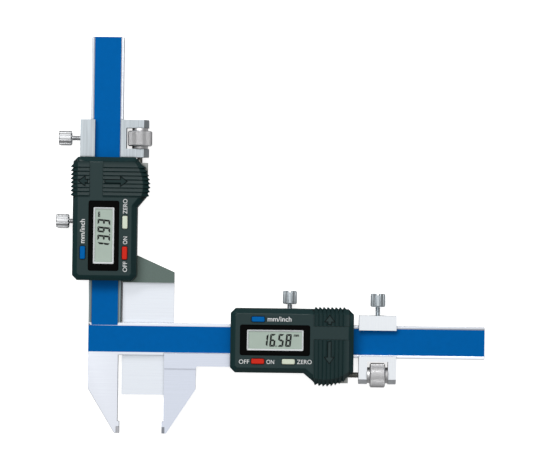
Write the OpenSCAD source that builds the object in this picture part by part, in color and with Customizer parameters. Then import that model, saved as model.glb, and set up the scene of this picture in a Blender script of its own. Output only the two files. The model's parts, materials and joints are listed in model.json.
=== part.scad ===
// Gear tooth caliper: an L-shaped steel frame that carries two digital sliders.
// It lies on its back with both displays up, as it rests on a bench.
// X runs along the horizontal beam, Y along the vertical beam and Z towards the displays.
// Each slider is drawn in its own frame: x along the beam from the housing's inner end,
// y across the beam from its centreline, z up from the bench. The vertical slider is the
// same unit turned a quarter turn.

/* [Frame] */
// Width of both beams
beam_w = 16; // [15:0.5:18]
// Thickness of both beams and of the jaws
beam_t = 4; // [3.6:0.1:4.6]
// Horizontal beam, from the crossing of the centrelines to its free end
h_beam_reach = 188.2; // [186:1:260]
// Vertical beam, from the crossing of the centrelines to its free end
v_beam_reach = 149.3; // [148:1:220]
// Width of the blue scale strips
strip_w = 13; // [10:0.2:13.4]
// Thickness of the scale strips and depth of their grooves
strip_t = 0.6; // [0.4:0.1:1]
// Joint between the two scale strips
strip_joint = 0.15; // [0.1:0.05:0.6]

/* [Jaws] */
// Measuring face of the fixed jaw, from the vertical centreline
jaw_face = 7.85; // [7:0.05:9]
// Jaw tips, from the horizontal centreline
jaw_depth = 46.7; // [42:0.1:55]
// Height of the shoulder where the outer edges turn in, from the horizontal centreline
jaw_shoulder = 24.7; // [20:0.1:30]
// Width of the fixed jaw's tip
fixed_tip_w = 2.45; // [2:0.05:4]
// Width of the moving jaw's tip
moving_tip_w = 2.3; // [2:0.05:4]
// Width of the moving jaw, from its measuring face
moving_jaw_w = 16.65; // [14:0.05:20]
// Length of the measuring faces at the tips
tip_face = 5.8; // [4:0.1:9]
// Step from the measuring faces back to the jaws' inner edges
tip_relief = 0.9; // [0.4:0.05:1.5]
// Length of the hard metal tips
hard_tip = 3.2; // [2:0.1:5]
// Width of the hard metal tips
hard_tip_w = 1.5; // [1:0.05:1.8]
// Jaw opening as shown
jaw_opening = 20.95; // [0:0.05:22]
// Distance from the moving jaw's measuring face to its slider's housing
arm_reach = 33.65; // [30:0.05:44]
// Lower edge of the jaw's arm, from the horizontal centreline
arm_edge = 13.2; // [12.6:0.1:13.2]
// Line where the arm steps down to the jaw
arm_step = 14.4; // [13.8:0.1:16]

/* [Tongue] */
// Inner edge of the tongue, from the vertical centreline
tongue_inner = 8.65; // [8.1:0.05:10]
// Outer edge of the tongue, from the vertical centreline
tongue_outer = 34.2; // [30:0.1:36]
// Tongue's measuring edge below the horizontal centreline, as shown
tongue_depth = 27.75; // [14:0.05:46]
// Distance from the tongue's measuring edge to its slider's housing
tongue_reach = 56.6; // [56:0.1:64]
// How far the tongue's arm stands below the housing
tongue_step = 0.85; // [0.5:0.05:1]
// Height of the arm along its outer edge
tongue_arm_side = 5.2; // [4:0.1:8]
// Height of the arm where it leaves the housing
tongue_arm_root = 13.3; // [9:0.1:16]

/* [Slider frames] */
// Thickness of the frames' backs and of the tongue
back_t = 2; // [1.6:0.1:2.4]
// Clearance in front of and behind the beam
run_gap = 0.1; // [0.05:0.01:0.2]
// Clearance beside the beam and the gib
side_gap = 0.05; // [0.03:0.01:0.1]
// Thickness of the lips over the beam's steel bands
lip_t = 1.1; // [0.8:0.1:1.6]
// How far the lips reach over the beam
lip_cover = 1.1; // [0.6:0.1:1.3]
// Outer edge of the rail on the jaw's side, from the centreline
rail_low = 13.2; // [13.2:0.1:13.6]
// Outer edge of the rail on the lock screw's side, from the centreline
rail_high = 13; // [12.6:0.1:13.6]
// Thickness of the gib strip
gib_t = 1; // [0.8:0.1:1.3]
// How far the frame's ends lie inside the housing's ends
frame_inset = 0.3; // [0.1:0.1:1]
// Diameter of the gib's grub screws
grub_d = 2.5; // [2:0.1:3]
// Distance of the grub screws from the lock screw
grub_offset = 17; // [12:0.5:20]
// Depth of the grub screws' sockets
grub_socket = 1.2; // [0.8:0.1:1.6]

/* [Housings] */
// Distance from the bezel to the sliding covers
cover_gap = 1.8; // [1.5:0.1:3]
// Distance from the sliding covers to the housing's far end
far_margin = 2.3; // [2.2:0.1:4]
// Housing's edge on the jaw's side, from the centreline
housing_low = 15.6; // [15.3:0.1:16.4]
// Housing's edge on the lock screw's side, from the centreline
housing_high = 16; // [15.4:0.1:17]
// Height of the display face above the bench
housing_top = 16.5; // [16.2:0.1:19]
// Height of the housing's lower edge above the bench
housing_foot = 0.8; // [0.5:0.1:1.5]
// Bevel round the display face
face_bevel = 2.4; // [1.5:0.1:2.6]
// Corner cut of the outline
corner_cut = 2.4; // [1:0.1:3]
// Thickness of the front wall
front_wall = 1.8; // [1.5:0.1:2.2]
// Thickness of the side walls round the display's space
side_wall = 1.6; // [1.2:0.1:2]
// Radius of the rounded edge over the battery
bulge_r = 18.95; // [18.5:0.05:19.5]
// Centre of that edge along the beam, from the covers' inner edge
bulge_offset = 5.7; // [5:0.1:6.4]
// Centre of that edge, from the centreline towards the jaws
bulge_y = 1.85; // [1.6:0.05:2.2]
// Start of the slanted edge, before the covers' inner edge
slant_before = 4.8; // [4:0.1:7]
// End of the slanted edge, past the covers' inner edge
slant_past = 0.6; // [0.2:0.1:1]
// Diameter of the housing screws
housing_screw_d = 2; // [1.6:0.1:2.2]
// Length of the housing screws
housing_screw_len = 11.5; // [9.5:0.1:12]
// Distance of the housing screws from the housing's ends
housing_screw_end = 3.4; // [3:0.1:3.8]
// Distance of the housing screws from the centreline
housing_screw_side = 10.9; // [10.6:0.1:11.2]
// Depth of the screws' heads in the frame's back
screw_sink = 0.1; // [0.05:0.05:0.3]
// Depth of the screws' hexagon sockets
screw_socket = 0.6; // [0.4:0.1:0.8]
// Diameter of the bosses round the two screws beside the display
boss_d = 4.6; // [4.2:0.1:4.8]

/* [Display] */
// Left edge of the bezel along the beam
bezel_x = 4.8; // [4:0.1:5]
// Length of the bezel
bezel_len = 34.4; // [33:0.1:34.8]
// Width of the bezel
bezel_w = 15; // [14:0.1:15.4]
// Middle of the bezel, from the centreline
bezel_y = 0.55; // [0.2:0.05:0.7]
// Thickness of the bezel
bezel_t = 0.8; // [0.6:0.1:1]
// Bezel's face below the housing's face
bezel_sink = 0.3; // [0.1:0.05:0.4]
// Corner radius of the bezel
bezel_r = 1.1; // [0.5:0.1:2]
// Width of the bezel left of the display holder
bezel_left = 3.4; // [2.8:0.1:3.6]
// Width of the bezel right of the display holder
bezel_right = 3.2; // [2.8:0.05:3.6]
// Width of the bezel above and below the display holder
bezel_side = 2.4; // [2:0.05:2.6]
// Holder's face below the bezel's face
holder_sink = 0.3; // [0.1:0.05:0.5]
// Width of the holder's visible rim
holder_rim = 0.85; // [0.75:0.05:1.3]
// Corner radius of the holder
holder_r = 0.6; // [0.3:0.05:0.7]
// Thickness of the holder's rim and of its wall
holder_wall = 0.6; // [0.4:0.05:0.7]
// Thickness of the glass display
lcd_t = 2; // [1.6:0.1:2.6]
// Width of the rubber contact strips under the display
zebra_w = 1.4; // [1:0.1:1.8]

/* [Buttons] */
// Length of a button
button_len = 6.4; // [6:0.1:7]
// Width of a button
button_w = 2.6; // [2.4:0.1:3]
// Corner radius of a button
button_r = 0.7; // [0.2:0.1:1]
// Clearance round a button in the face
button_gap = 0.2; // [0.1:0.05:0.3]
// How far a button stands out of the face
button_out = 0.7; // [0.6:0.1:1.2]
// Travel of a button
button_travel = 0.5; // [0.3:0.05:0.55]
// Middle of the blue and red buttons along the beam
button_x = 13.6; // [12:0.1:15]
// Middle of the pale button along the beam
zero_x = 28.7; // [26:0.1:30]
// Middle of the blue button, from the centreline
unit_button_y = 10.8; // [10.3:0.05:11]
// Middle of the red and pale buttons, from the centreline
lower_button_y = 9.9; // [9.7:0.05:10.3]
// Thickness of a button's flange behind the front wall
flange_t = 0.6; // [0.4:0.1:0.8]
// How far the flange reaches past the button
flange_out = 0.7; // [0.5:0.1:0.9]

/* [Electronics] */
// Thickness of the circuit board
board_t = 1; // [0.8:0.1:1.2]
// Distance of the circuit board from the housing's inner end
board_x = 6; // [5.6:0.1:6.4]
// Distance of the circuit board from the housing's far end
board_margin = 6.3; // [6:0.1:7.4]
// Width of the circuit board
board_w = 24.6; // [24:0.1:25]
// Height of the switch domes
dome_h = 1.5; // [1:0.1:2]
// Diameter of the button cell
cell_d = 11.6; // [11:0.1:11.8]
// Height of the button cell
cell_h = 5.4; // [5:0.1:5.5]
// Middle of the button cell, from the centreline towards the jaws
cell_y = 6.8; // [6.6:0.1:7]
// Thickness of the cell's contacts
contact_t = 0.2; // [0.1:0.05:0.3]
// Width of the cell's contacts
contact_w = 3; // [2:0.5:4]
// Length of the data port under its cover
port_len = 12; // [8:0.5:14]

/* [Sliding covers] */
// Width of both covers along the beam
cover_w = 17.5; // [17.2:0.1:17.5]
// Upper end of the battery cover, from the centreline
battery_cover_y = 1.1; // [0.6:0.1:1.6]
// Lower end of the data port cover, from the centreline
port_cover_y = 7.85; // [6.5:0.05:8]
// Height of the covers' undersides above the bench
cover_z = 14.3; // [14.2:0.05:14.4]
// Height of the covers' turned-down rims above the bench
rim_z = 9.9; // [9.8:0.1:11]
// Thickness of the turned-down rims
rim_t = 1.6; // [1.2:0.1:1.8]
// Reach of the covers' guide flanges into the housing
guide_w = 0.6; // [0.4:0.05:0.7]
// Thickness of the guide flanges
guide_t = 0.7; // [0.5:0.05:0.8]
// Number of ridges on a cover
ridge_count = 8; // [5:1:8]
// First ridge from the cover's inner edge
ridge_first = 0.85; // [0.6:0.05:1.4]
// Last ridge's end from the cover's far edge
ridge_last = 1.2; // [0.5:0.05:1.4]
// Width of a ridge's steep flank
ridge_flank = 0.5; // [0.2:0.05:0.6]
// Height of the ridges on the face
ridge_face = 0.4; // [0.2:0.05:0.6]
// Height of the arrows on the face
arrow_face = 0.25; // [0.1:0.05:0.35]
// Width of the groove round an arrow
arrow_groove_w = 0.4; // [0.3:0.05:0.6]
// Depth of the groove round an arrow, below the face
arrow_groove = 0.4; // [0.2:0.05:0.6]
// Width of the arrows' heads
arrow_w = 4.2; // [3.6:0.1:5.4]
// Length of the arrows' heads
arrow_head = 2.8; // [1.8:0.1:3]
// Width of the arrows' shafts
arrow_shaft = 1.3; // [1:0.1:3.2]
// Distance of the arrows from the covers' ends near the beam
arrow_start = 1.1; // [0.8:0.1:1.4]
// Length of the port cover's arrow
port_arrow_len = 4; // [3.2:0.1:4.4]
// Length of the battery cover's arrow
battery_arrow_len = 10.4; // [8:0.1:11]
// Height of the ridges on the rim
ridge_side = 1.3; // [0.6:0.05:1.6]

/* [Lock screws] */
// Diameter of the slider lock screw's head
lock_head_d = 7.05; // [6:0.05:7.6]
// Diameter of the clamp lock screw's head
clamp_head_d = 7.4; // [6:0.05:7.6]
// Length of both heads
lock_head_len = 6.5; // [5:0.1:9]
// Diameter of the screws' shanks
lock_d = 2.45; // [2:0.05:3]
// Top of the slider lock screw's head, from the centreline
lock_top = 24.8; // [23.4:0.1:28]
// Top of the clamp lock screw's head, from the centreline
clamp_lock_top = 23.9; // [21.5:0.1:26]
// Middle of the slider lock screw along the beam
lock_x = 29.1; // [24:0.1:34]
// Width of the screwdriver slot in a head's end
driver_w = 1.1; // [0.8:0.1:1.4]
// Depth of the screwdriver slot
driver_depth = 0.9; // [0.5:0.1:1.4]
// Number of flutes round a head
flutes = 12; // [8:1:16]
// Radius of a flute
flute_r = 0.42; // [0.3:0.02:0.5]

/* [Fine adjustment] */
// Gap between the horizontal housing and its clamp as shown
h_clamp_gap = 2.7; // [0.15:0.05:4]
// Gap between the vertical housing and its clamp as shown
v_clamp_gap = 0.15; // [0.15:0.05:4]
// Length of a clamp along the beam
clamp_len = 18.5; // [18:0.1:20]
// Height of the clamp's face above the bench
clamp_front = 9.4; // [8.6:0.1:11]
// Clamp's edge on the lock screw's side, from the centreline
clamp_high = 13.05; // [12.4:0.05:14]
// Edge of the clamp's lip on that side, from the centreline
clamp_lip_high = 5.8; // [5.4:0.05:7.4]
// Edge of the clamp's lip on the jaw's side, from the centreline
clamp_lip_low = 7; // [6:0.05:7.4]
// Ends of the clamp's ears, from the centreline
ear_end = 20.8; // [20:0.1:23]
// Height of the ears' backs above the bench
ear_back = 1.4; // [0:0.1:2.4]
// Bevel at the ends of the ears
ear_bevel = 2.4; // [0.5:0.1:2.8]
// Start of the nut's slot from the clamp's inner end
slot_x = 4.2; // [3.5:0.1:5]
// Width of the nut's slot
slot_w = 10.3; // [9.5:0.1:11]
// Root of the nut's slot, from the centreline
slot_root = 9.7; // [9.5:0.05:9.9]
// Axis of the adjusting rod, from the centreline
rod_y = 16.4; // [16.2:0.05:16.8]
// Axis of the adjusting rod above the bench
rod_z = 6.3; // [6.2:0.05:6.4]
// Diameter of the adjusting rod
rod_d = 2.9; // [2.5:0.05:3]
// Free length of the rod beyond its lug
rod_out = 20; // [19:0.1:21]
// Length of the rod inside its lug
rod_in = 7; // [4:0.1:7.4]
// Distance from the lug to the housing's far end
lug_margin = 2.55; // [2:0.05:3.8]
// Length of the lug
lug_len = 7.7; // [7.5:0.1:8]
// Lower end of the lug, from the centreline
lug_low = 20.45; // [19:0.05:21.5]
// Height of the lug above and below the rod
lug_half = 3.2; // [2.4:0.1:3.3]
// Diameter of the adjusting nut
nut_d = 12.1; // [11.5:0.05:12.2]
// Width of the nut's knurled rim
nut_w = 7.5; // [6:0.1:8.5]
// Diameter of the nut's hubs
nut_hub_d = 7.8; // [6:0.1:9]
// Chamfer of the nut's rim
nut_chamfer = 0.6; // [0.2:0.1:1]

/* [Fits] */
// Radial clearance of shafts and screws that turn
shaft_gap = 0.05; // [0.02:0.01:0.09]
// Clearance of pieces that seat in one another
seat_gap = 0.1; // [0.05:0.01:0.12]
// Clearance of the lock screw where it passes through the housing
window_gap = 0.5; // [0.2:0.1:0.8]

/* [Hidden] */
$fn = 48;
cut = 1;

// Levels, from the bench up
beam_z = back_t + run_gap;
beam_front = beam_z + beam_t;
lip_z = beam_front + run_gap;
deck = lip_z + lip_t;
board_top = deck + board_t;
beam_mid = beam_z + beam_t / 2;
wall_z = housing_top - front_wall;
bezel_top = housing_top - bezel_sink;
holder_top = bezel_top - holder_sink;
lcd_top = holder_top - holder_wall;
lcd_z = lcd_top - lcd_t;

// Places across the beam
half_beam = beam_w / 2;
rail_in = half_beam + side_gap;
gib_in = half_beam + side_gap;
gib_out = gib_in + gib_t;
rail_in_high = gib_out + side_gap;
lip_edge = half_beam - lip_cover;

// Places along the beam
h_unit_x = jaw_face + jaw_opening + arm_reach;
v_unit_y = tongue_reach - tongue_depth;
display_end = bezel_x + bezel_len;
cover_x = display_end + cover_gap;
cover_end = cover_x + cover_w;
housing_len = cover_end + far_margin;
slant_start = cover_x - slant_before;
slant_end = cover_x + slant_past;
bulge_x = cover_x + bulge_offset;
cell_x = cover_x + cover_w / 2;
board_end = housing_len - board_margin;
lug_end = housing_len - lug_margin;
stem_z = board_top + dome_h + button_travel + seat_gap;
lug_start = lug_end - lug_len;
nut_len = slot_w - 2 * seat_gap;

// The display holder's corners and the ridges' spacing
holder_low = [bezel_x + bezel_left, bezel_y - bezel_w / 2 + bezel_side];
holder_high = [display_end - bezel_right, bezel_y + bezel_w / 2 - bezel_side];
ridge_pitch = (cover_w - ridge_first + ridge_flank - ridge_last) / ridge_count;

// The arrows stand midway between two ridges, near the covers' middle
arrow_x = cover_x + ridge_first + (ceil(ridge_count / 2) - 0.5) * ridge_pitch;

// The part's box is centred on the origin
mid_x = (h_beam_reach - lock_top) / 2;
mid_y = (v_beam_reach - jaw_depth) / 2;

// Distance of the rounded edge from the centreline at x
function bulge_edge(x) = bulge_y + sqrt(pow(bulge_r, 2) - pow(x - bulge_x, 2));

// Placing

module centred() {
    translate([-mid_x, -mid_y, 0]) children();
}

module on_h() {
    centred() translate([h_unit_x, 0, 0]) children();
}

module on_v() {
    centred() translate([0, v_unit_y, 0]) rotate(90) children();
}

module on_h_clamp() {
    on_h() translate([housing_len + h_clamp_gap, 0, 0]) children();
}

module on_v_clamp() {
    on_v() translate([housing_len + v_clamp_gap, 0, 0]) children();
}

// A profile drawn across the beam, pulled out along it
module along(length) {
    rotate([90, 0, 90]) linear_extrude(length) children();
}

// A cylinder that runs across the beam, outwards from y
module across(x, y, z, d, length) {
    translate([x, y, z]) rotate([-90, 0, 0]) cylinder(d = d, h = length);
}

// A box given by its two corners
module span(low, high) {
    translate(low) cube(high - low);
}

// A plate with round corners, given by its middle, size and height
module round_plate(middle, size, r, height) {
    translate([middle.x - size.x / 2 + r, middle.y - size.y / 2 + r, middle.z])
        linear_extrude(height)
            union() {
                translate([-r, 0]) square([size.x, size.y - 2 * r]);
                translate([0, -r]) square([size.x - 2 * r, size.y]);
                for (x = [0, size.x - 2 * r], y = [0, size.y - 2 * r])
                    translate([x, y]) circle(r);
            }
}

// The main frame: two beams and the fixed jaw in one piece

module strip_plan_h() {
    translate([-half_beam, -strip_w / 2]) square([h_beam_reach + half_beam, strip_w]);
}

module strip_plan_v() {
    translate([-strip_w / 2, strip_w / 2 + strip_joint])
        square([strip_w, v_beam_reach - strip_w / 2 - strip_joint]);
}

module fixed_jaw_plan() {
    polygon([
        [-half_beam, 0],
        [-half_beam, -jaw_shoulder],
        [jaw_face - fixed_tip_w, -jaw_depth],
        [jaw_face, -jaw_depth],
        [jaw_face, -jaw_depth + tip_face],
        [jaw_face - tip_relief, -jaw_depth + tip_face],
        [jaw_face - tip_relief, 0]
    ]);
}

module fixed_tip_plan() {
    translate([jaw_face - hard_tip_w, -jaw_depth]) square([hard_tip_w, hard_tip]);
}

module main_frame() {
    color("#dfe4ea")
        centred()
            difference() {
                translate([0, 0, beam_z]) linear_extrude(beam_t) union() {
                    translate([-half_beam, -half_beam]) square([h_beam_reach + half_beam, beam_w]);
                    translate([-half_beam, -half_beam]) square([beam_w, v_beam_reach + half_beam]);
                    fixed_jaw_plan();
                }
                translate([0, 0, beam_front - strip_t]) linear_extrude(strip_t + cut) {
                    strip_plan_h();
                    strip_plan_v();
                }
                translate([0, 0, beam_z - cut]) linear_extrude(beam_t + 2 * cut) fixed_tip_plan();
            }
}

module fixed_jaw_tip() {
    color("#8f949c")
        centred() translate([0, 0, beam_z]) linear_extrude(beam_t) fixed_tip_plan();
}

module h_scale_strip() {
    color("#025da4")
        centred() translate([0, 0, beam_front - strip_t]) linear_extrude(strip_t) strip_plan_h();
}

module v_scale_strip() {
    color("#025da4")
        centred() translate([0, 0, beam_front - strip_t]) linear_extrude(strip_t) strip_plan_v();
}

// Slider frames: a channel round the beam, with a jaw or a tongue

module channel_profile() {
    polygon([
        [-rail_low, 0],
        [rail_high, 0],
        [rail_high, deck],
        [lip_edge, deck],
        [lip_edge, lip_z],
        [rail_in_high, lip_z],
        [rail_in_high, back_t],
        [-rail_in, back_t],
        [-rail_in, lip_z],
        [-lip_edge, lip_z],
        [-lip_edge, deck],
        [-rail_low, deck]
    ]);
}

// Places of the screws that hold the housing
module at_housing_screws() {
    for (x = [housing_screw_end, housing_len - housing_screw_end])
        for (y = [-housing_screw_side, housing_screw_side])
            translate([x, y, 0]) children();
}

// A countersunk screw, head down, grown by a clearance
module housing_screw_form(grow = 0) {
    shank_r = housing_screw_d / 2 + grow;
    head_r = 2 * shank_r;
    translate([0, 0, screw_sink]) {
        cylinder(h = head_r - shank_r, r1 = head_r, r2 = shank_r);
        cylinder(h = housing_screw_len, r = shank_r);
    }
}

module housing_screw_hole() {
    housing_screw_form(shaft_gap);
    translate([0, 0, -cut]) cylinder(h = cut + screw_sink, r = housing_screw_d + 2 * shaft_gap);
}

// The lug that holds the adjusting rod, clear of the housing above the rail
module rod_lug() {
    neck = rail_low + 2 * seat_gap;
    span([lug_start, -lug_low, rod_z - lug_half], [lug_end, -neck, rod_z + lug_half]);
    span([lug_start, -neck - cut, rod_z - lug_half], [lug_end, -rail_in, deck]);
}

// A slider's frame, joined to the jaw or tongue that is given as its child
module slider_frame() {
    difference() {
        union() {
            translate([frame_inset, 0, 0]) along(housing_len - 2 * frame_inset) channel_profile();
            rod_lug();
            children();
        }
        at_housing_screws() housing_screw_hole();
        across(lock_x, rail_in_high - cut, beam_mid, lock_d + 2 * shaft_gap, rail_high);
        for (x = [lock_x - grub_offset, lock_x + grub_offset])
            across(x, rail_in_high - cut, beam_mid, grub_d + 2 * shaft_gap, rail_high);
        translate([lug_end - rod_in, -rod_y, rod_z])
            rotate([0, 90, 0]) cylinder(d = rod_d + 2 * shaft_gap, h = rod_in + cut);
    }
}

module jaw_plan() {
    polygon([
        [-arm_reach + tip_relief, -rail_in],
        [-arm_reach + tip_relief, -jaw_depth + tip_face],
        [-arm_reach, -jaw_depth + tip_face],
        [-arm_reach, -jaw_depth],
        [-arm_reach + moving_tip_w, -jaw_depth],
        [-arm_reach + moving_jaw_w, -jaw_shoulder],
        [-arm_reach + moving_jaw_w, -rail_in]
    ]);
}

module jaw_tip_plan() {
    translate([-arm_reach, -jaw_depth]) square([hard_tip_w, hard_tip]);
}

// The arm that joins the jaw to its slider, with its lip over the beam's band
module jaw_arm() {
    arm_start = -arm_reach + tip_relief;
    translate([arm_start, 0, 0]) along(-arm_start + frame_inset + cut) polygon([
        [-arm_edge, beam_z],
        [-rail_in, beam_z],
        [-rail_in, lip_z],
        [-lip_edge, lip_z],
        [-lip_edge, deck],
        [-arm_edge, deck]
    ]);
    span([arm_start, -arm_step, beam_z], [-arm_reach + moving_jaw_w, -arm_edge + cut, deck]);
}

// The fillet between the arm's lower edge and the jaw's outer edge
module jaw_fillet() {
    fillet = arm_step - arm_edge;
    translate([-arm_reach + moving_jaw_w, -arm_step, beam_z])
        difference() {
            translate([-cut, 0, 0]) cube([fillet + cut, fillet + cut, deck - beam_z]);
            translate([fillet, 0, -cut]) cylinder(r = fillet, h = deck);
        }
}

module h_slider_frame() {
    color("#d9deea")
        on_h() slider_frame() {
            jaw_arm();
            jaw_fillet();
            difference() {
                translate([0, 0, beam_z]) linear_extrude(beam_t) jaw_plan();
                translate([0, 0, beam_z - cut]) linear_extrude(beam_t + 2 * cut) jaw_tip_plan();
            }
        }
}

module h_jaw_tip() {
    color("#8f949c")
        on_h() translate([0, 0, beam_z]) linear_extrude(beam_t) jaw_tip_plan();
}

module tongue_arm_plan() {
    polygon([
        [-tongue_step, -tongue_inner],
        [-tongue_step, -tongue_outer],
        [tongue_arm_side - tongue_step, -tongue_outer],
        [tongue_arm_root - tongue_step, -housing_low - seat_gap],
        [tongue_arm_root - tongue_step, -tongue_inner]
    ]);
}

module v_slider_frame() {
    color("#d3d9e2")
        on_v() slider_frame() {
            linear_extrude(deck) tongue_arm_plan();
            span([-tongue_reach, -tongue_outer, 0], [0, -tongue_inner, back_t]);
        }
}

// Gib strip between the upper rail and the beam, and the grub screws that set it

module gib() {
    color("#b08d57")
        span(
            [frame_inset + seat_gap, gib_in, back_t + seat_gap],
            [housing_len - frame_inset - seat_gap, gib_out, lip_z - seat_gap]
        );
}

module gib_screws() {
    color("#50555a")
        for (x = [lock_x - grub_offset, lock_x + grub_offset])
            difference() {
                across(x, gib_out, beam_mid, grub_d, rail_high - gib_out);
                across(x, rail_high - grub_socket, beam_mid, grub_d / 2, rail_high);
            }
}

// Housing: a bevelled moulding with a rounded edge over the battery

// Cuts the bevel along an edge of the face that runs from a to b, with the solid on its left
module bevel_cut(a, b) {
    run = b - a;
    reach = 12;
    translate([a.x, a.y, housing_top])
        rotate(atan2(run.y, run.x))
            translate([-reach, 0, 0])
                along(norm(run) + 2 * reach)
                    polygon([
                        [-cut, -face_bevel - cut],
                        [face_bevel + cut, cut],
                        [-cut, cut]
                    ]);
}

module housing_block() {
    outline = [
        [0, -housing_low + corner_cut],
        [corner_cut, -housing_low],
        [slant_end, -housing_low],
        [housing_len, -rod_y + face_bevel * 2],
        [housing_len, housing_high - corner_cut],
        [housing_len - corner_cut, housing_high],
        [corner_cut, housing_high],
        [0, housing_high - corner_cut]
    ];
    difference() {
        translate([0, 0, housing_foot]) linear_extrude(housing_top - housing_foot) polygon(outline);
        bevel_cut(outline[0], outline[1]);
        bevel_cut(outline[1], outline[2]);
        bevel_cut(outline[4], outline[5]);
        bevel_cut(outline[5], outline[6]);
        bevel_cut(outline[6], outline[7]);
        bevel_cut(outline[7], outline[0]);
    }
}

// The part of the housing that holds the battery, with its slanted and rounded edges
module housing_bulge() {
    slant = [slant_end - slant_start, housing_low - bulge_edge(slant_end)];
    lead = [slant_start, -housing_low] - slant;
    end = [slant_end, -bulge_edge(slant_end)];
    difference() {
        intersection() {
            translate([0, 0, housing_foot]) linear_extrude(housing_top - housing_foot) polygon([
                lead,
                end,
                [slant_end, -bulge_y - bulge_r],
                [housing_len, -bulge_y - bulge_r],
                [housing_len, -cell_y],
                [lead.x, -cell_y]
            ]);
            translate([bulge_x, -bulge_y, housing_foot]) union() {
                cylinder(r = bulge_r, h = housing_top - face_bevel - housing_foot, $fn = 128);
                translate([0, 0, housing_top - face_bevel - housing_foot])
                    cylinder(r1 = bulge_r, r2 = bulge_r - face_bevel, h = face_bevel, $fn = 128);
            }
        }
        bevel_cut(lead, end);
    }
}

module housing_shell() {
    difference() {
        union() {
            housing_block();
            housing_bulge();
        }
        bevel_cut([housing_len, -housing_low], [housing_len, housing_high]);
    }
}

// Recess for one sliding cover with its guide grooves and its rim
module cover_recess(inner, outer) {
    span(
        [cover_x - seat_gap, inner - seat_gap, cover_z - seat_gap],
        [cover_end + seat_gap, outer + 3 * cut, housing_top + cut]
    );
    span(
        [cover_x - guide_w - seat_gap, inner - seat_gap, cover_z - seat_gap],
        [cover_end + guide_w + seat_gap, outer + 3 * cut, cover_z + guide_t + seat_gap]
    );
}

module port_recess() {
    cover_recess(port_cover_y, housing_high);
    span(
        [cover_x - seat_gap, housing_high - rim_t - seat_gap, rim_z - seat_gap],
        [cover_end + seat_gap, housing_high + cut, housing_top]
    );
}

module battery_recess() {
    mirror([0, 1, 0]) cover_recess(-battery_cover_y, bulge_y + bulge_r);
    difference() {
        span(
            [cover_x - seat_gap, -bulge_y - bulge_r - cut, rim_z - seat_gap],
            [cover_end + seat_gap, -housing_low + face_bevel, housing_top]
        );
        translate([bulge_x, -bulge_y, 0])
            cylinder(r = bulge_r - rim_t - seat_gap, h = housing_top + cut, $fn = 128);
    }
}

module button_hole(x, y) {
    round_plate(
        [x, y, wall_z - cut],
        [button_len + 2 * button_gap, button_w + 2 * button_gap],
        button_r + button_gap,
        front_wall + 2 * cut
    );
}

// The opening that the display holder stands in
module holder_window(low, high) {
    span(
        [holder_low.x - seat_gap, holder_low.y - seat_gap, low],
        [holder_high.x + seat_gap, holder_high.y + seat_gap, high]
    );
}

module housing(arm_notch = false) {
    cavity_side = rail_low + seat_gap;
    color("#2c3f41")
        difference() {
            union() {
                difference() {
                    housing_shell();
                    span(
                        [side_wall, -cavity_side, deck],
                        [display_end, rail_high + seat_gap, wall_z]
                    );
                }
                for (y = [-housing_screw_side, housing_screw_side])
                    translate([housing_screw_end, y, deck])
                        cylinder(d = boss_d, h = wall_z - deck + cut / 2);
            }
            // Space for the slider frame and the beam
            span([-cut, -rail_low - seat_gap, -cut], [housing_len + cut, rail_high + seat_gap, deck]);
            // Space for the circuit board
            span(
                [board_x - seat_gap, -board_w / 2 - seat_gap, deck - cut],
                [board_end + seat_gap, board_w / 2 + seat_gap, board_top + seat_gap]
            );
            // Screw holes
            at_housing_screws()
                translate([0, 0, deck - cut])
                    cylinder(d = housing_screw_d + 2 * shaft_gap, h = housing_screw_len - deck + 2 * cut);
            // Lock screw's hole
            across(lock_x, rail_high - cut, beam_mid, lock_d + 2 * window_gap, housing_high);
            // Bezel's seat and the display's window
            round_plate(
                [bezel_x + bezel_len / 2, bezel_y, bezel_top - bezel_t],
                [bezel_len + 2 * seat_gap, bezel_w + 2 * seat_gap],
                bezel_r,
                bezel_t + bezel_sink + cut
            );
            holder_window(wall_z - cut, housing_top);
            button_hole(button_x, unit_button_y);
            button_hole(button_x, -lower_button_y);
            button_hole(zero_x, -lower_button_y);
            // Covers, battery and data port
            port_recess();
            battery_recess();
            translate([cell_x, -cell_y, deck])
                cylinder(d = cell_d + 4 * seat_gap, h = cover_z - deck);
            span(
                [cell_x - cell_d / 2 - 4 * contact_t, -cell_y - contact_w * 2 / 3, deck],
                [cell_x, -cell_y + contact_w * 2 / 3, cover_z]
            );
            span(
                [cell_x - port_len / 2, port_cover_y + side_wall, deck],
                [cell_x + port_len / 2, rail_high + seat_gap, cover_z]
            );
            // Pocket for the lug and the adjusting rod
            span(
                [lug_start - 2 * window_gap, -bulge_y - bulge_r - cut, -cut],
                [housing_len + cut, -rail_low - seat_gap, rim_z - seat_gap]
            );
            if (arm_notch)
                span(
                    [-cut, -housing_low - cut, -cut],
                    [tongue_arm_root - tongue_step + seat_gap, -rail_low, deck + seat_gap]
                );
        }
}

module housing_screws() {
    color("#73787d")
        at_housing_screws()
            difference() {
                housing_screw_form();
                translate([0, 0, -cut]) cylinder(d = housing_screw_d, h = cut + screw_socket, $fn = 6);
            }
}

// Display

module bezel() {
    color("#101012")
        difference() {
            round_plate(
                [bezel_x + bezel_len / 2, bezel_y, bezel_top - bezel_t],
                [bezel_len, bezel_w],
                bezel_r,
                bezel_t
            );
            holder_window(bezel_top - 2 * bezel_t, housing_top);
        }
}

// A box inside the display holder's outline, drawn in by inset
module holder_box(inset, low, high) {
    span(
        [holder_low.x + inset, holder_low.y + inset, low],
        [holder_high.x - inset, holder_high.y - inset, high]
    );
}

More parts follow.
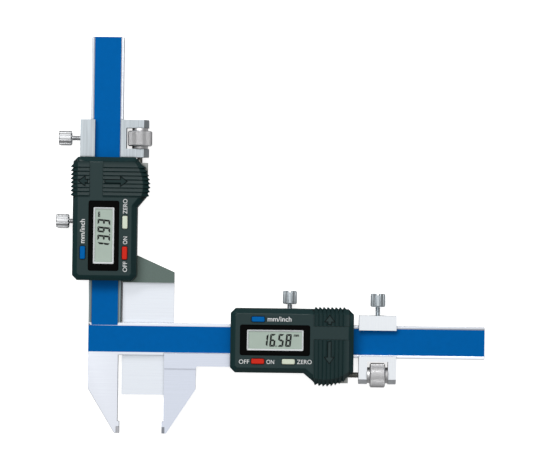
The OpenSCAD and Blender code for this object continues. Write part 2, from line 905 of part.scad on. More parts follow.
module lcd_holder() {
    color("#dfe6e6")
        difference() {
            round_plate(
                [each (holder_low + holder_high) / 2, board_top],
                holder_high - holder_low,
                holder_r,
                holder_top - board_top
            );
            holder_box(holder_rim, lcd_top - cut, holder_top + cut);
            holder_box(holder_wall, board_top - cut, lcd_top);
        }
}

module lcd() {
    color("#abb9ae") holder_box(holder_wall + side_gap, lcd_z, lcd_top);
}

module contact_strips() {
    inset = holder_wall + 2 * side_gap;
    color("#3a3a3c")
        for (y = [holder_low.y + inset, holder_high.y - inset - zebra_w])
            span([holder_low.x + inset, y, board_top], [holder_high.x - inset, y + zebra_w, lcd_z]);
}

module circuit_board() {
    color("#1f6b3a")
        span([board_x, -board_w / 2, deck], [board_end, board_w / 2, board_top]);
}

// Buttons and the switches under them

module button(x, y) {
    round_plate([x, y, wall_z - flange_t - seat_gap],
        [button_len, button_w], button_r, front_wall + flange_t + seat_gap + button_out);
    round_plate([x, y, wall_z - flange_t - seat_gap],
        [button_len + 2 * flange_out, button_w + 2 * flange_out], button_r, flange_t);
    translate([x, y, stem_z]) cylinder(d = button_w * 0.6, h = wall_z - stem_z);
}

module unit_button() {
    color("#0961a9") button(button_x, unit_button_y);
}

module power_button() {
    color("#d62c1f") button(button_x, -lower_button_y);
}

module zero_button() {
    color("#d5e7cf") button(zero_x, -lower_button_y);
}

module dome_switches() {
    color("#54585c")
        for (place = [[button_x, unit_button_y], [button_x, -lower_button_y], [zero_x, -lower_button_y]])
            translate([place.x, place.y, board_top]) {
                cylinder(d = button_w, h = dome_h / 2);
                cylinder(d1 = button_w, d2 = button_w * 0.6, h = dome_h);
            }
}

// Battery and its contacts

module battery() {
    step = 0.5;
    color("#c8ccd0")
        translate([cell_x, -cell_y, board_top + contact_t]) {
            cylinder(d = cell_d - 2 * step, h = cell_h);
            translate([0, 0, step]) cylinder(d = cell_d, h = cell_h - step);
        }
}

module battery_contacts() {
    side_x = cell_x - cell_d / 2 - 3 * contact_t;
    color("#c9a85a") translate([0, -cell_y - contact_w / 2, board_top]) {
        span([side_x, 0, 0], [cell_x + contact_w, contact_w, contact_t]);
        span([side_x, 0, 0], [side_x + contact_t, contact_w, cell_h * 0.8]);
    }
}

// Sliding covers: an L-shaped section, lofted along x over a row of sawtooth ridges

ridge_line = concat(
    [[0, 0]],
    [for (i = [0:ridge_count - 1]) for (flank = [0, 1])
        [ridge_first + i * ridge_pitch - (1 - flank) * ridge_flank, flank]],
    [[ridge_first + ridge_count * ridge_pitch - ridge_flank, 0], [cover_w, 0]]
);

// The cover's section: inner is the end near the beam, edge the distance of the rim
function cover_section(inner, edge, height) = [
    [inner, cover_z],
    [inner, housing_top + ridge_face * height],
    [edge - face_bevel, housing_top + ridge_face * height],
    [edge + ridge_side * height, housing_top - face_bevel],
    [edge + ridge_side * height, rim_z],
    [edge - rim_t, rim_z],
    [edge - rim_t, cover_z]
];

// Pieces of the loft's skin between one station and the next
function skin(stations, points) = [
    for (i = [0:stations - 2]) for (k = [0:points - 1])
        let (
            a = i * points + k,
            b = i * points + (k + 1) % points,
            c = b + points,
            d = a + points
        )
        each [[a, b, c], [a, c, d]]
];

module ridged_loft(inner, edges) {
    sections = [
        for (i = [0:len(ridge_line) - 1])
            for (p = cover_section(inner, edges[i], ridge_line[i][1]))
                [cover_x + ridge_line[i][0], p.x, p.y]
    ];
    corners = len(cover_section(inner, edges[0], 0));
    stations = len(ridge_line);
    polyhedron(
        points = sections,
        faces = concat(
            skin(stations, corners),
            [[for (k = [corners - 1:-1:0]) k]],
            [[for (k = [0:corners - 1]) (stations - 1) * corners + k]]
        )
    );
}

// Flat guide flanges along both sides of a cover
module cover_guides(inner, outer) {
    inset = seat_gap / 2;
    span(
        [cover_x - guide_w, inner + inset, cover_z + inset],
        [cover_end + guide_w, outer, cover_z + guide_t]
    );
}

// An arrow from its tail to its tip, widened all round by grow
module arrow_plan(tail, tip, grow = 0) {
    // The slanted sides lie at this angle to the shaft
    slant = atan2(arrow_w / 2, arrow_head);
    top = tip + grow / sin(slant);
    base = tip - arrow_head - grow;
    half_head = (top - base) * tan(slant);
    half_shaft = arrow_shaft / 2 + grow;
    translate([arrow_x, 0])
        polygon([
            [0, top],
            [half_head, base],
            [half_shaft, base],
            [half_shaft, tail - grow],
            [-half_shaft, tail - grow],
            [-half_shaft, base],
            [-half_head, base]
        ]);
}

// A cover with its flanges, and a raised arrow in a groove that shows which way it slides
module sliding_cover(inner, outer, edges, arrow_len) {
    floor_z = housing_top - arrow_groove;
    tail = inner + arrow_start;
    color("#26383a") {
        difference() {
            ridged_loft(inner, edges);
            translate([0, 0, floor_z])
                linear_extrude(arrow_groove + ridge_face + cut)
                    arrow_plan(tail, tail + arrow_len, arrow_groove_w);
        }
        translate([0, 0, floor_z - cut / 2])
            linear_extrude(arrow_groove + arrow_face + cut / 2) arrow_plan(tail, tail + arrow_len);
        cover_guides(inner, outer - face_bevel);
    }
}

module port_cover() {
    edges = [for (s = ridge_line) housing_high];
    sliding_cover(port_cover_y, housing_high, edges, port_arrow_len);
}

module battery_cover() {
    edges = [for (s = ridge_line) bulge_edge(cover_x + s[0])];
    mirror([0, 1, 0]) sliding_cover(-battery_cover_y, housing_low, edges, battery_arrow_len);
}

// Lock screws

// A fluted screw that stands across the beam, its driver slot turned by turn degrees
module thumb_screw(head_d, top, tip, turn) {
    head_start = top - lock_head_len;
    edge = 0.5;
    difference() {
        union() {
            translate([0, head_start, 0]) rotate([-90, 0, 0]) {
                cylinder(d1 = head_d - 2 * edge, d2 = head_d, h = edge);
                translate([0, 0, edge]) cylinder(d = head_d, h = lock_head_len - 2 * edge);
                translate([0, 0, lock_head_len - edge])
                    cylinder(d1 = head_d, d2 = head_d - 2 * edge, h = edge);
            }
            translate([0, tip, 0]) rotate([-90, 0, 0])
                cylinder(d = lock_d, h = top - lock_head_len / 2 - tip);
        }
        for (i = [0:flutes - 1])
            rotate([0, (i + 0.5) * 360 / flutes, 0])
                translate([head_d / 2, head_start - cut, 0])
                    rotate([-90, 0, 0]) cylinder(r = flute_r, h = lock_head_len + 2 * cut);
        rotate([0, turn, 0])
            span([-driver_w / 2, top - driver_depth, -head_d], [driver_w / 2, top + cut, head_d]);
    }
}

module lock_screw(turn) {
    color("#a9b1b6")
        translate([lock_x, 0, beam_mid])
            thumb_screw(lock_head_d, lock_top, gib_out + side_gap, turn);
}

module clamp_lock_screw(turn) {
    color("#a9b1b6")
        translate([clamp_len / 2, 0, beam_mid])
            thumb_screw(clamp_head_d, clamp_lock_top, gib_out + side_gap, turn);
}

// Fine adjustment: a rod in the slider's lug, a clamp on the beam and a knurled nut

module adjusting_rod() {
    point = 0.4;
    color("#6d6b66")
        translate([lug_end - rod_in, -rod_y, rod_z])
            rotate([0, 90, 0]) {
                cylinder(d = rod_d, h = rod_in + rod_out - point);
                translate([0, 0, rod_in + rod_out - point])
                    cylinder(d1 = rod_d, d2 = rod_d - 2 * point, h = point);
            }
}

module clamp_profile() {
    polygon([
        [-rail_in - back_t, 0],
        [clamp_high, 0],
        [clamp_high, clamp_front],
        [clamp_lip_high, clamp_front],
        [clamp_lip_high, lip_z],
        [rail_in_high, lip_z],
        [rail_in_high, back_t],
        [-rail_in, back_t],
        [-rail_in, lip_z],
        [-clamp_lip_low, lip_z],
        [-clamp_lip_low, clamp_front],
        [-ear_end + ear_bevel, clamp_front],
        [-ear_end, clamp_front - ear_bevel],
        [-ear_end, ear_back + ear_bevel / 2],
        [-ear_end + ear_bevel / 2, ear_back],
        [-rail_in - back_t, ear_back]
    ]);
}

module clamp() {
    color("#e2e6ec")
        difference() {
            along(clamp_len) clamp_profile();
            span([slot_x, -ear_end - cut, -cut], [slot_x + slot_w, -slot_root, clamp_front + cut]);
            translate([-cut, -rod_y, rod_z])
                rotate([0, 90, 0]) cylinder(d = rod_d + 2 * shaft_gap, h = clamp_len + 2 * cut);
            across(clamp_len / 2, rail_in_high - cut, beam_mid, lock_d + 2 * shaft_gap, clamp_high);
        }
}

module clamp_pad() {
    color("#b08d57")
        span(
            [seat_gap, gib_in, back_t + seat_gap],
            [clamp_len - seat_gap, gib_out, lip_z - seat_gap]
        );
}

module adjusting_nut() {
    color("#c9cbd0")
        translate([slot_x + slot_w / 2, -rod_y, rod_z])
            rotate([0, 90, 0])
                rotate_extrude()
                    polygon([
                        [rod_d / 2 + shaft_gap, -nut_len / 2],
                        [nut_hub_d / 2, -nut_len / 2],
                        [nut_hub_d / 2, -nut_w / 2],
                        [nut_d / 2 - nut_chamfer, -nut_w / 2],
                        [nut_d / 2, -nut_w / 2 + nut_chamfer],
                        [nut_d / 2, nut_w / 2 - nut_chamfer],
                        [nut_d / 2 - nut_chamfer, nut_w / 2],
                        [nut_hub_d / 2, nut_w / 2],
                        [nut_hub_d / 2, nut_len / 2],
                        [rod_d / 2 + shaft_gap, nut_len / 2]
                    ]);
}

main_frame();
fixed_jaw_tip();
h_scale_strip();
v_scale_strip();

h_slider_frame();
h_jaw_tip();
on_h() gib();  // h_gib
on_h() gib_screws();  // h_gib_screws
on_h() housing();  // h_housing
on_h() housing_screws();  // h_housing_screws
on_h() bezel();  // h_bezel
on_h() lcd_holder();  // h_lcd_holder
on_h() lcd();  // h_lcd
on_h() contact_strips();  // h_contact_strips
on_h() circuit_board();  // h_circuit_board
on_h() dome_switches();  // h_dome_switches
on_h() unit_button();  // h_unit_button
on_h() power_button();  // h_power_button
on_h() zero_button();  // h_zero_button
on_h() battery();  // h_battery
on_h() battery_contacts();  // h_battery_contacts
on_h() battery_cover();  // h_battery_cover
on_h() port_cover();  // h_port_cover
on_h() lock_screw(0);  // h_lock_screw
on_h() adjusting_rod();  // h_adjusting_rod
on_h_clamp() clamp();  // h_clamp
on_h_clamp() clamp_pad();  // h_clamp_pad
on_h_clamp() adjusting_nut();  // h_adjusting_nut
on_h_clamp() clamp_lock_screw(0);  // h_clamp_lock_screw

v_slider_frame();
on_v() gib();  // v_gib
on_v() gib_screws();  // v_gib_screws
on_v() housing(arm_notch = true);  // v_housing
on_v() housing_screws();  // v_housing_screws
on_v() bezel();  // v_bezel
on_v() lcd_holder();  // v_lcd_holder
on_v() lcd();  // v_lcd
on_v() contact_strips();  // v_contact_strips
on_v() circuit_board();  // v_circuit_board
on_v() dome_switches();  // v_dome_switches
on_v() unit_button();  // v_unit_button
on_v() power_button();  // v_power_button
on_v() zero_button();  // v_zero_button
on_v() battery();  // v_battery
on_v() battery_contacts();  // v_battery_contacts
on_v() battery_cover();  // v_battery_cover
on_v() port_cover();  // v_port_cover
on_v() lock_screw(90);  // v_lock_screw
on_v() adjusting_rod();  // v_adjusting_rod
on_v_clamp() clamp();  // v_clamp
on_v_clamp() clamp_pad();  // v_clamp_pad
on_v_clamp() adjusting_nut();  // v_adjusting_nut
on_v_clamp() clamp_lock_screw(90);  // v_clamp_lock_screw
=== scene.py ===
import json
import math

import bmesh
import bpy
from mathutils import Matrix, Vector
from mathutils.geometry import area_tri

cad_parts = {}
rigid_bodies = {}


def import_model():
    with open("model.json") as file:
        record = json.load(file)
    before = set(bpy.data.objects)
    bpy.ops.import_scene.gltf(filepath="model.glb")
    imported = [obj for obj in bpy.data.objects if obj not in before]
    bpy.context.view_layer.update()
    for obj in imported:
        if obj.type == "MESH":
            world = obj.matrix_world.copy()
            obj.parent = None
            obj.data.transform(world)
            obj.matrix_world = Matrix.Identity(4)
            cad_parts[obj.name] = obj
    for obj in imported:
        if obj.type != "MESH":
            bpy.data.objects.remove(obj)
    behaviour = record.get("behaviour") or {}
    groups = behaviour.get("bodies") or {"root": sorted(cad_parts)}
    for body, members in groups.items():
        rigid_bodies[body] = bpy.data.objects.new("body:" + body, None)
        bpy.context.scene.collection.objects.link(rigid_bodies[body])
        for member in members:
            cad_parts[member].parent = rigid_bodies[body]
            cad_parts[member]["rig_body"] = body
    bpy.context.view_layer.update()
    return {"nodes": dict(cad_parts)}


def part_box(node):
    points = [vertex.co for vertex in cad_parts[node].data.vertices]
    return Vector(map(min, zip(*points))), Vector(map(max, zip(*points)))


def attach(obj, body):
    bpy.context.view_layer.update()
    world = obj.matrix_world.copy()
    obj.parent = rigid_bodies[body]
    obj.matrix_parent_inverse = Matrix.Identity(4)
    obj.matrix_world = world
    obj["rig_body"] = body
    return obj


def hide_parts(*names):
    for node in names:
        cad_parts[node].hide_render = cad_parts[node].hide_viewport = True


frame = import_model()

mm = 0.001
quarter = math.pi / 2
nodes = frame["nodes"]
scene = bpy.context.scene
scene.view_settings.view_transform = "Standard"
print("frame loaded:", len(nodes), "nodes")

# Finishes: the colour of every surface

finishes = {
    "framePolish": "#eaeef9",
    "sliderPolish": "#dce2ef",
    "tonguePolish": "#eaeff8",
    "hClampPolish": "#eff3fa",
    # painted shade: the upright slider's clamp is coloured darker than the crosswise one
    "vClampShadedPolish": "#bac2c7",
    "castArm": "#6d7e78",
    # painted shade: the lugs are coloured darker than the ground steel round them
    "lug": "#9b9e9b",
    # painted shade: the dark walls of the nut's slot
    "slotShade": "#35383b",
    # painted shade: the upright beam's working stretch, and darker still its edge by the gap
    "shadedRail": "#8c9ca1",
    "shadedRailEdge": "#4a565a",
    "fixedTip": "#b6b7bc",
    "movingTip": "#8a8e96",
    "scaleFilm": "#0069b9",
    "housing": "#0b2f30",
    "hCover": "#0c2e2f",
    "vCover": "#0a2b2c",
    "bezel": "#030303",
    "holder": "#eaf5f9",
    "display": "#b9cabe",
    "displayInk": "#0e1512",
    "labelInk": "#fbfdfd",
    "unitButton": "#0069b8",
    "powerButton": "#e02e1e",
    "zeroButton": "#e8ffdc",
    "hScrew": "#d4dce1",
    "vScrew": "#e2e4e6",
    "rod": "#9d9d97",
    "nut": "#fbfbff",
    "darkScrew": "#55595d",
    "brass": "#b78f4e",
    "gold": "#d6ae58",
    "cell": "#c6c9cc",
    "dome": "#a9adb1",
    "rubber": "#2b2b2e",
    "board": "#1c6b3c",
}


def linear(hexColour):
    # sRGB hex to the linear values that a shader wants
    channels = [int(hexColour[i:i + 2], 16) / 255 for i in (1, 3, 5)]
    return [c / 12.92 if c <= 0.04045 else ((c + 0.055) / 1.055) ** 2.4 for c in channels] + [1]


def addNode(tree, kind, inputs=None, **settings):
    # one node, with its settings, and its inputs as values or as other nodes' sockets
    node = tree.nodes.new(kind)
    for key, value in settings.items():
        setattr(node, key, value)
    for key, value in (inputs or {}).items():
        if isinstance(value, bpy.types.NodeSocket):
            tree.links.new(value, node.inputs[key])
        else:
            node.inputs[key].default_value = value
    return node


def startMaterial(name, colour, roughness, metallic=0.0, specular=0.5):
    material = bpy.data.materials.new(name)
    material.use_nodes = True
    tree = material.node_tree
    shader = tree.nodes["Principled BSDF"]
    shader.inputs["Base Color"].default_value = linear(colour)
    shader.inputs["Roughness"].default_value = roughness
    shader.inputs["Metallic"].default_value = metallic
    shader.inputs["Specular IOR Level"].default_value = specular
    return material, tree, shader


def grainNoise(tree, grain, turn=0.0, detail=3.0):
    # noise with one cell per grain size, given in millimetres along x, y and z
    place = addNode(tree, "ShaderNodeTexCoord")
    spread = addNode(tree, "ShaderNodeMapping", {
        "Vector": place.outputs["Object"], "Rotation": (0, 0, turn),
        "Scale": tuple(size * mm for size in grain)}, vector_type="TEXTURE")
    return addNode(tree, "ShaderNodeTexNoise", {
        "Vector": spread.outputs["Vector"], "Scale": 1.0, "Detail": detail, "Roughness": 0.55})


# Painted shade: inner corners are darkened, and lose their shine, by how little of the sky they
# see.
# It fades out from the closed to the open share of sky; what it leaves of the colour is "left".
cornerShade = {"reach": 0.9, "open": 0.93, "closed": 0.55, "left": 0.3}


def shadeBy(tree, shader, noise, colours, roughSpan, shadeShare=1.0, relief=0.0, strength=0.0):
    # Colour, roughness and bump all follow the same noise, and painted corner shade lies over the
    # colour. The relief is the height of the bumps in millimetres.
    dark, light = colours
    ramp = addNode(tree, "ShaderNodeMix", {
        "Factor": noise.outputs["Fac"], "A": linear(dark), "B": linear(light)}, data_type="RGBA")
    span = addNode(tree, "ShaderNodeMapRange", {
        "Value": noise.outputs["Fac"], "From Min": 0.3, "From Max": 0.7,
        "To Min": roughSpan[0], "To Max": roughSpan[1]})
    tree.links.new(span.outputs["Result"], shader.inputs["Roughness"])
    if relief:
        bump = addNode(tree, "ShaderNodeBump", {
            "Height": noise.outputs["Fac"], "Strength": strength, "Distance": relief * mm})
        tree.links.new(bump.outputs["Normal"], shader.inputs["Normal"])
    if not shadeShare:
        tree.links.new(ramp.outputs["Result"], shader.inputs["Base Color"])
        return
    # painted shade: ambient occlusion darkens the colour and lowers the specular level in inner
    # corners
    corner = addNode(tree, "ShaderNodeAmbientOcclusion", {"Distance": cornerShade["reach"] * mm},
                     samples=4)
    film = addNode(tree, "ShaderNodeMapRange", {
        "Value": corner.outputs["AO"], "From Min": cornerShade["closed"],
        "From Max": cornerShade["open"],
        "To Min": 1 - shadeShare * (1 - cornerShade["left"]), "To Max": 1.0})
    shadedColour = addNode(tree, "ShaderNodeVectorMath", {
        0: ramp.outputs["Result"], "Scale": film.outputs["Result"]}, operation="SCALE")
    tree.links.new(shadedColour.outputs["Vector"], shader.inputs["Base Color"])
    shine = addNode(tree, "ShaderNodeMath", {
        0: film.outputs["Result"], 1: shader.inputs["Specular IOR Level"].default_value},
        operation="MULTIPLY")
    tree.links.new(shine.outputs["Value"], shader.inputs["Specular IOR Level"])


def around(hexColour, darker, lighter):
    # the same colour made darker by one share and lighter by another
    channels = [int(hexColour[i:i + 2], 16) for i in (1, 3, 5)]
    return ["#" + "".join(f"{max(0, min(255, round(c * (1 + share)))):02x}" for c in channels)
            for share in (-darker, lighter)]


def groundSteel(name, colour, turn=0.0, roughness=0.34, contrast=0.04, spacing=0.35,
                shadeShare=1.0):
    # Stainless steel, surface ground: pale and satin, with fine straight lines along the stroke.
    # The real lines stand 0.05 mm apart; they are drawn at a wider spacing so that they show.
    material, tree, shader = startMaterial(name, colour, roughness, metallic=1.0)
    lines = grainNoise(tree, (22, spacing, spacing), turn)
    shadeBy(tree, shader, lines, around(colour, contrast, contrast),
            (roughness - 0.05, roughness + 0.08), shadeShare, relief=0.004, strength=0.25)
    return material


def blastedSteel(name, colour):
    # Steel left bead-blasted: darker grey, mottled, with a fine dull grain
    material, tree, shader = startMaterial(name, colour, roughness=0.55, metallic=0.6)
    pits = grainNoise(tree, (0.9, 0.9, 0.9), detail=6.0)
    shadeBy(tree, shader, pits, around(colour, 0.14, 0.12), (0.5, 0.66), relief=0.03,
            strength=0.3)
    return material


def turnedSteel(name, colour, axis, roughness):
    # Turned and plated steel: bright, with rings from the tool across its axis
    grain = [0.3 if side == axis else 6.0 for side in "xyz"]
    material, tree, shader = startMaterial(name, colour, roughness, metallic=1.0)
    rings = grainNoise(tree, grain)
    shadeBy(tree, shader, rings, around(colour, 0.09, 0.04),
            (roughness - 0.06, roughness + 0.1), shadeShare=0, relief=0.006, strength=0.2)
    return material


def mouldedPlastic(name, colour, roughness=0.34, specular=0.37, grainSize=0.22, grainHeight=0.02,
                   shadeShare=1.0):
    # ABS from a spark-eroded mould: even colour, soft sheen and a fine pebble grain
    material, tree, shader = startMaterial(name, colour, roughness, specular=specular)
    pebble = grainNoise(tree, (grainSize,) * 3, detail=4.0)
    shadeBy(tree, shader, pebble, around(colour, 0.1, 0.1),
            (roughness - 0.06, roughness + 0.08), shadeShare, relief=grainHeight, strength=0.35)
    return material


def printedFilm(name, colour):
    # Polyester scale film: deep blue under a clear satin face, with a faint orange peel
    material, tree, shader = startMaterial(name, colour, roughness=0.45, specular=0.02)
    peel = grainNoise(tree, (2.4, 2.4, 2.4), detail=2.0)
    shadeBy(tree, shader, peel, around(colour, 0.03, 0.03), (0.34, 0.44), shadeShare=0,
            relief=0.01, strength=0.08)
    return material


def displayGlass(name, colour):
    # Reflective display: grey-green polariser film under glass, a little uneven in tone
    material, tree, shader = startMaterial(name, colour, roughness=0.18, specular=0.4)
    cloud = grainNoise(tree, (7.0, 5.0, 5.0), detail=1.0)
    # painted shade darkens the display near the inner walls of its frame
    shadeBy(tree, shader, cloud, around(colour, 0.02, 0.02), (0.16, 0.22), shadeShare=0.4)
    return material


def printInk(name, colour):
    # Pad-printed ink: flat and dull, with slightly thin spots
    material, tree, shader = startMaterial(name, colour, roughness=0.6, specular=0.3)
    thin = grainNoise(tree, (0.25, 0.25, 0.25), detail=2.0)
    shadeBy(tree, shader, thin, around(colour, 0.06, 0), (0.55, 0.68))
    return material


paint = {
    "frameSteel": groundSteel("ground_stainless_frame", finishes["framePolish"]),
    "sliderSteel": groundSteel("ground_stainless_slider", finishes["sliderPolish"],
                               shadeShare=0.4),
    "tongueSteel": groundSteel("ground_stainless_tongue", finishes["tonguePolish"],
                               shadeShare=0.4),
    "hClampSteel": groundSteel("ground_steel_h_clamp", finishes["hClampPolish"], turn=quarter),
    # painted shade: a darker copy of the clamp's ground steel for the upright slider
    "vClampSteel": groundSteel("shaded_ground_steel_v_clamp", finishes["vClampShadedPolish"], turn=quarter,
                               roughness=0.38, contrast=0.16, spacing=0.6),
    "castArm": blastedSteel("blasted_steel_arm", finishes["castArm"]),
    # painted shade: the lug's darker steel
    "shadedLugSteel": groundSteel("shaded_steel_lug", finishes["lug"], turn=quarter, roughness=0.42),
    # painted shade: the dark walls of the nut's slot
    "shadedSlotSteel": groundSteel("shaded_steel_slot", finishes["slotShade"], turn=quarter,
                             roughness=0.45),
    # painted shade: the upright beam's working stretch and its edge by the gap
    "shadedRailSteel": groundSteel("shaded_stainless_rail", finishes["shadedRail"], turn=quarter,
                             roughness=0.4),
    "shadedRailEdge": groundSteel("shaded_stainless_edge", finishes["shadedRailEdge"], turn=quarter,
                            roughness=0.45),
    "fixedTip": groundSteel("ground_hard_metal_fixed", finishes["fixedTip"], turn=quarter,
                            roughness=0.3),
    "movingTip": groundSteel("ground_hard_metal_moving", finishes["movingTip"], turn=quarter,
                             roughness=0.3),
    "scaleFilm": printedFilm("blue_scale_film", finishes["scaleFilm"]),
    "housing": mouldedPlastic("moulded_abs_housing", finishes["housing"]),
    "hCover": mouldedPlastic("moulded_abs_h_cover", finishes["hCover"], specular=0.38),
    "vCover": mouldedPlastic("moulded_abs_v_cover", finishes["vCover"], roughness=0.42,
                             specular=0.25),
    "bezel": mouldedPlastic("polished_black_acrylic", finishes["bezel"], roughness=0.3,
                            specular=0.04, grainSize=0.5, grainHeight=0.002),
    "holder": mouldedPlastic("white_abs_holder", finishes["holder"], roughness=0.4, specular=0.4,
                             grainSize=0.4, grainHeight=0.005, shadeShare=0),
    "display": displayGlass("reflective_display", finishes["display"]),
    "displayInk": printInk("display_segments", finishes["displayInk"]),
    "labelInk": printInk("white_pad_print", finishes["labelInk"]),
    "unitButton": mouldedPlastic("blue_silicone_button", finishes["unitButton"], roughness=0.42,
                                 specular=0.04, grainSize=0.3),
    "powerButton": mouldedPlastic("red_silicone_button", finishes["powerButton"],
                                  roughness=0.42, specular=0.1, grainSize=0.3),
    "zeroButton": mouldedPlastic("pale_silicone_button", finishes["zeroButton"], roughness=0.42,
                                 specular=0.2, grainSize=0.3),
    "hScrew": turnedSteel("turned_steel_h_screw", finishes["hScrew"], "y", roughness=0.42),
    "vScrew": turnedSteel("turned_steel_v_screw", finishes["vScrew"], "x", roughness=0.42),
    "hRod": turnedSteel("rolled_thread_h_rod", finishes["rod"], "x", roughness=0.36),
    "vRod": turnedSteel("rolled_thread_v_rod", finishes["rod"], "y", roughness=0.36),
    "hNut": groundSteel("knurled_steel_h_nut", finishes["nut"], roughness=0.44, contrast=0.12,
                        spacing=0.5),
    "vNut": groundSteel("knurled_steel_v_nut", finishes["nut"], turn=quarter, roughness=0.44,
                        contrast=0.12, spacing=0.5),
    "darkScrew": turnedSteel("blackened_screws", finishes["darkScrew"], "z", roughness=0.4),
    "brass": groundSteel("drawn_brass", finishes["brass"], roughness=0.3),
    "gold": turnedSteel("gold_plated_contacts", finishes["gold"], "z", roughness=0.25),
    "cell": turnedSteel("nickel_plated_cell", finishes["cell"], "z", roughness=0.22),
    "dome": turnedSteel("snap_dome_steel", finishes["dome"], "z", roughness=0.25),
    "rubber": mouldedPlastic("contact_rubber", finishes["rubber"], roughness=0.7, specular=0.3,
                             grainSize=0.2, grainHeight=0.01),
    "board": mouldedPlastic("solder_mask_board", finishes["board"], roughness=0.35,
                            specular=0.5, grainSize=0.6, grainHeight=0.01),
}
print("finishes made:", len(paint))

# the finish of each node; one that starts with a capital is the slider's own, such as hCover
nodeFinish = {
    "main_frame": "frameSteel", "fixed_jaw_tip": "fixedTip",
    "h_scale_strip": "scaleFilm", "v_scale_strip": "scaleFilm",
    "h_slider_frame": "sliderSteel", "v_slider_frame": "tongueSteel", "h_jaw_tip": "movingTip",
}
unitFinish = {
    "gib": "brass", "gib_screws": "darkScrew", "housing": "housing",
    "housing_screws": "darkScrew", "bezel": "bezel", "lcd_holder": "holder", "lcd": "display",
    "contact_strips": "rubber", "circuit_board": "board", "dome_switches": "dome",
    "unit_button": "unitButton", "power_button": "powerButton", "zero_button": "zeroButton",
    "battery": "cell", "battery_contacts": "gold", "battery_cover": "Cover",
    "port_cover": "Cover", "lock_screw": "Screw", "adjusting_rod": "Rod", "clamp": "ClampSteel",
    "clamp_pad": "brass", "adjusting_nut": "Nut", "clamp_lock_screw": "Screw",
}
for prefix in ("h", "v"):
    for part, finish in unitFinish.items():
        nodeFinish[f"{prefix}_{part}"] = prefix + finish if finish[0].isupper() else finish
for name, finish in nodeFinish.items():
    data = nodes[name].data
    data.materials.clear()
    data.materials.append(paint[finish])


# Each slider's own frame: x along its beam from the housing's inner end, y across from the
# beam's middle, z up

def middle(node):
    low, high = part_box(node)
    return (low + high) / 2


unitPlace = {
    "h": Matrix.Translation((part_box("h_housing")[0].x, middle("h_scale_strip").y, 0)),
    "v": Matrix.Translation((middle("v_scale_strip").x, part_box("v_housing")[0].y, 0))
    @ Matrix.Rotation(quarter, 4, "Z"),
}


# Pieces: merged copies of the solids, their sharp edges broken as a maker breaks them.
# Lengths are in millimetres, areas in square millimetres and angles in degrees.

meshing = {"weld": 0.001, "sameLevel": 0.01, "flatAngle": 0.3, "edgeAngle": 28,
           "smoothAngle": 35, "stepAngle": 8, "printAngle": 10, "foldAngle": 177.617,
           "allowedFold": 0.005}
# how far a face looks up, from 0 for an upright wall to 1 for a flat top
facing = {"wall": 0.1, "gentle": 0.3, "steep": 0.9, "top": 0.95}


def addPiece(name, mesh, body, replaced=()):
    piece = bpy.data.objects.new(name, mesh)
    scene.collection.objects.link(piece)
    for node in replaced:
        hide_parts(node)
    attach(piece, body)


def addFinished(node, mesh):
    addPiece(f"{node}_finished", mesh, nodes[node]["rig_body"], [node])


def mergedCopy(node):
    shape = bmesh.new()
    shape.from_mesh(nodes[node].data)
    bmesh.ops.remove_doubles(shape, verts=shape.verts, dist=meshing["weld"] * mm)
    bmesh.ops.dissolve_limit(shape, angle_limit=math.radians(meshing["flatAngle"]),
                             use_dissolve_boundaries=False, verts=shape.verts,
                             edges=shape.edges)
    return shape


def corners(shape):
    places = [vert.co for vert in shape.verts]
    return (Vector([min(place[k] for place in places) for k in range(3)]),
            Vector([max(place[k] for place in places) for k in range(3)]))


def upperEdges(shape, isWanted):
    # edges of the top face, chosen by their place and by the face that goes down from them
    top = corners(shape)[1].z - meshing["sameLevel"] * mm
    chosen = []
    for edge in shape.edges:
        if len(edge.link_faces) == 2 and min(vert.co.z for vert in edge.verts) > top:
            side, upper = sorted(edge.link_faces, key=lambda face: face.normal.z)
            if upper.normal.z > facing["top"] and isWanted(edge.verts[0].co, side.normal):
                chosen.append(edge)
    return chosen


def bevel(shape, edges, width, segments):
    bmesh.ops.bevel(shape, geom=edges, offset=width * mm, offset_type="OFFSET",
                    segments=segments, profile=0.5, affect="EDGES", clamp_overlap=True)


def roundCrown(shape, node, width, segments):
    # an edge of the top face treated on its own: where it turns down into the sloping sides of
    # a moulding, or where it goes down to the glass in the display's frame
    centre = middle(node)

    def goesToGlass(place, down):
        return down.z < facing["wall"] and (centre - place).dot(down) > 0

    def goesToSlope(place, down):
        return facing["gentle"] < down.z < facing["steep"]

    isWanted = goesToGlass if node.endswith("lcd_holder") else goesToSlope
    bevel(shape, upperEdges(shape, isWanted), width, segments)


def roundEdges(shape, width, segments=2, chosen=None):
    sharp = math.radians(meshing["edgeAngle"])
    edges = [edge for edge in shape.edges
             if len(edge.link_faces) == 2 and edge.calc_face_angle() > sharp
             and (chosen is None or chosen((edge.verts[0].co + edge.verts[1].co) / 2))]
    bevel(shape, edges, width, segments)


def clearOfStrips(place, margin=0.3):
    # the shallow pockets of the scale strips keep their sharp rims
    for strip in ("h_scale_strip", "v_scale_strip"):
        low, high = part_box(strip)
        if all(low[k] - margin * mm < place[k] < high[k] + margin * mm for k in range(3)):
            return False
    return True


def foldedArea(shape):
    # square millimetres of flat face that lie doubled because a bevel folded them over
    fold = math.radians(meshing["foldAngle"])
    doubled = -sum(face.calc_area() for face in shape.faces)
    for corner in shape.calc_loop_triangles():
        doubled += area_tri(*(loop.vert.co for loop in corner))
    for edge in shape.edges:
        if len(edge.link_faces) == 2 and edge.calc_face_angle() > fold:
            doubled += min(face.calc_area() for face in edge.link_faces)
    return doubled / mm ** 2


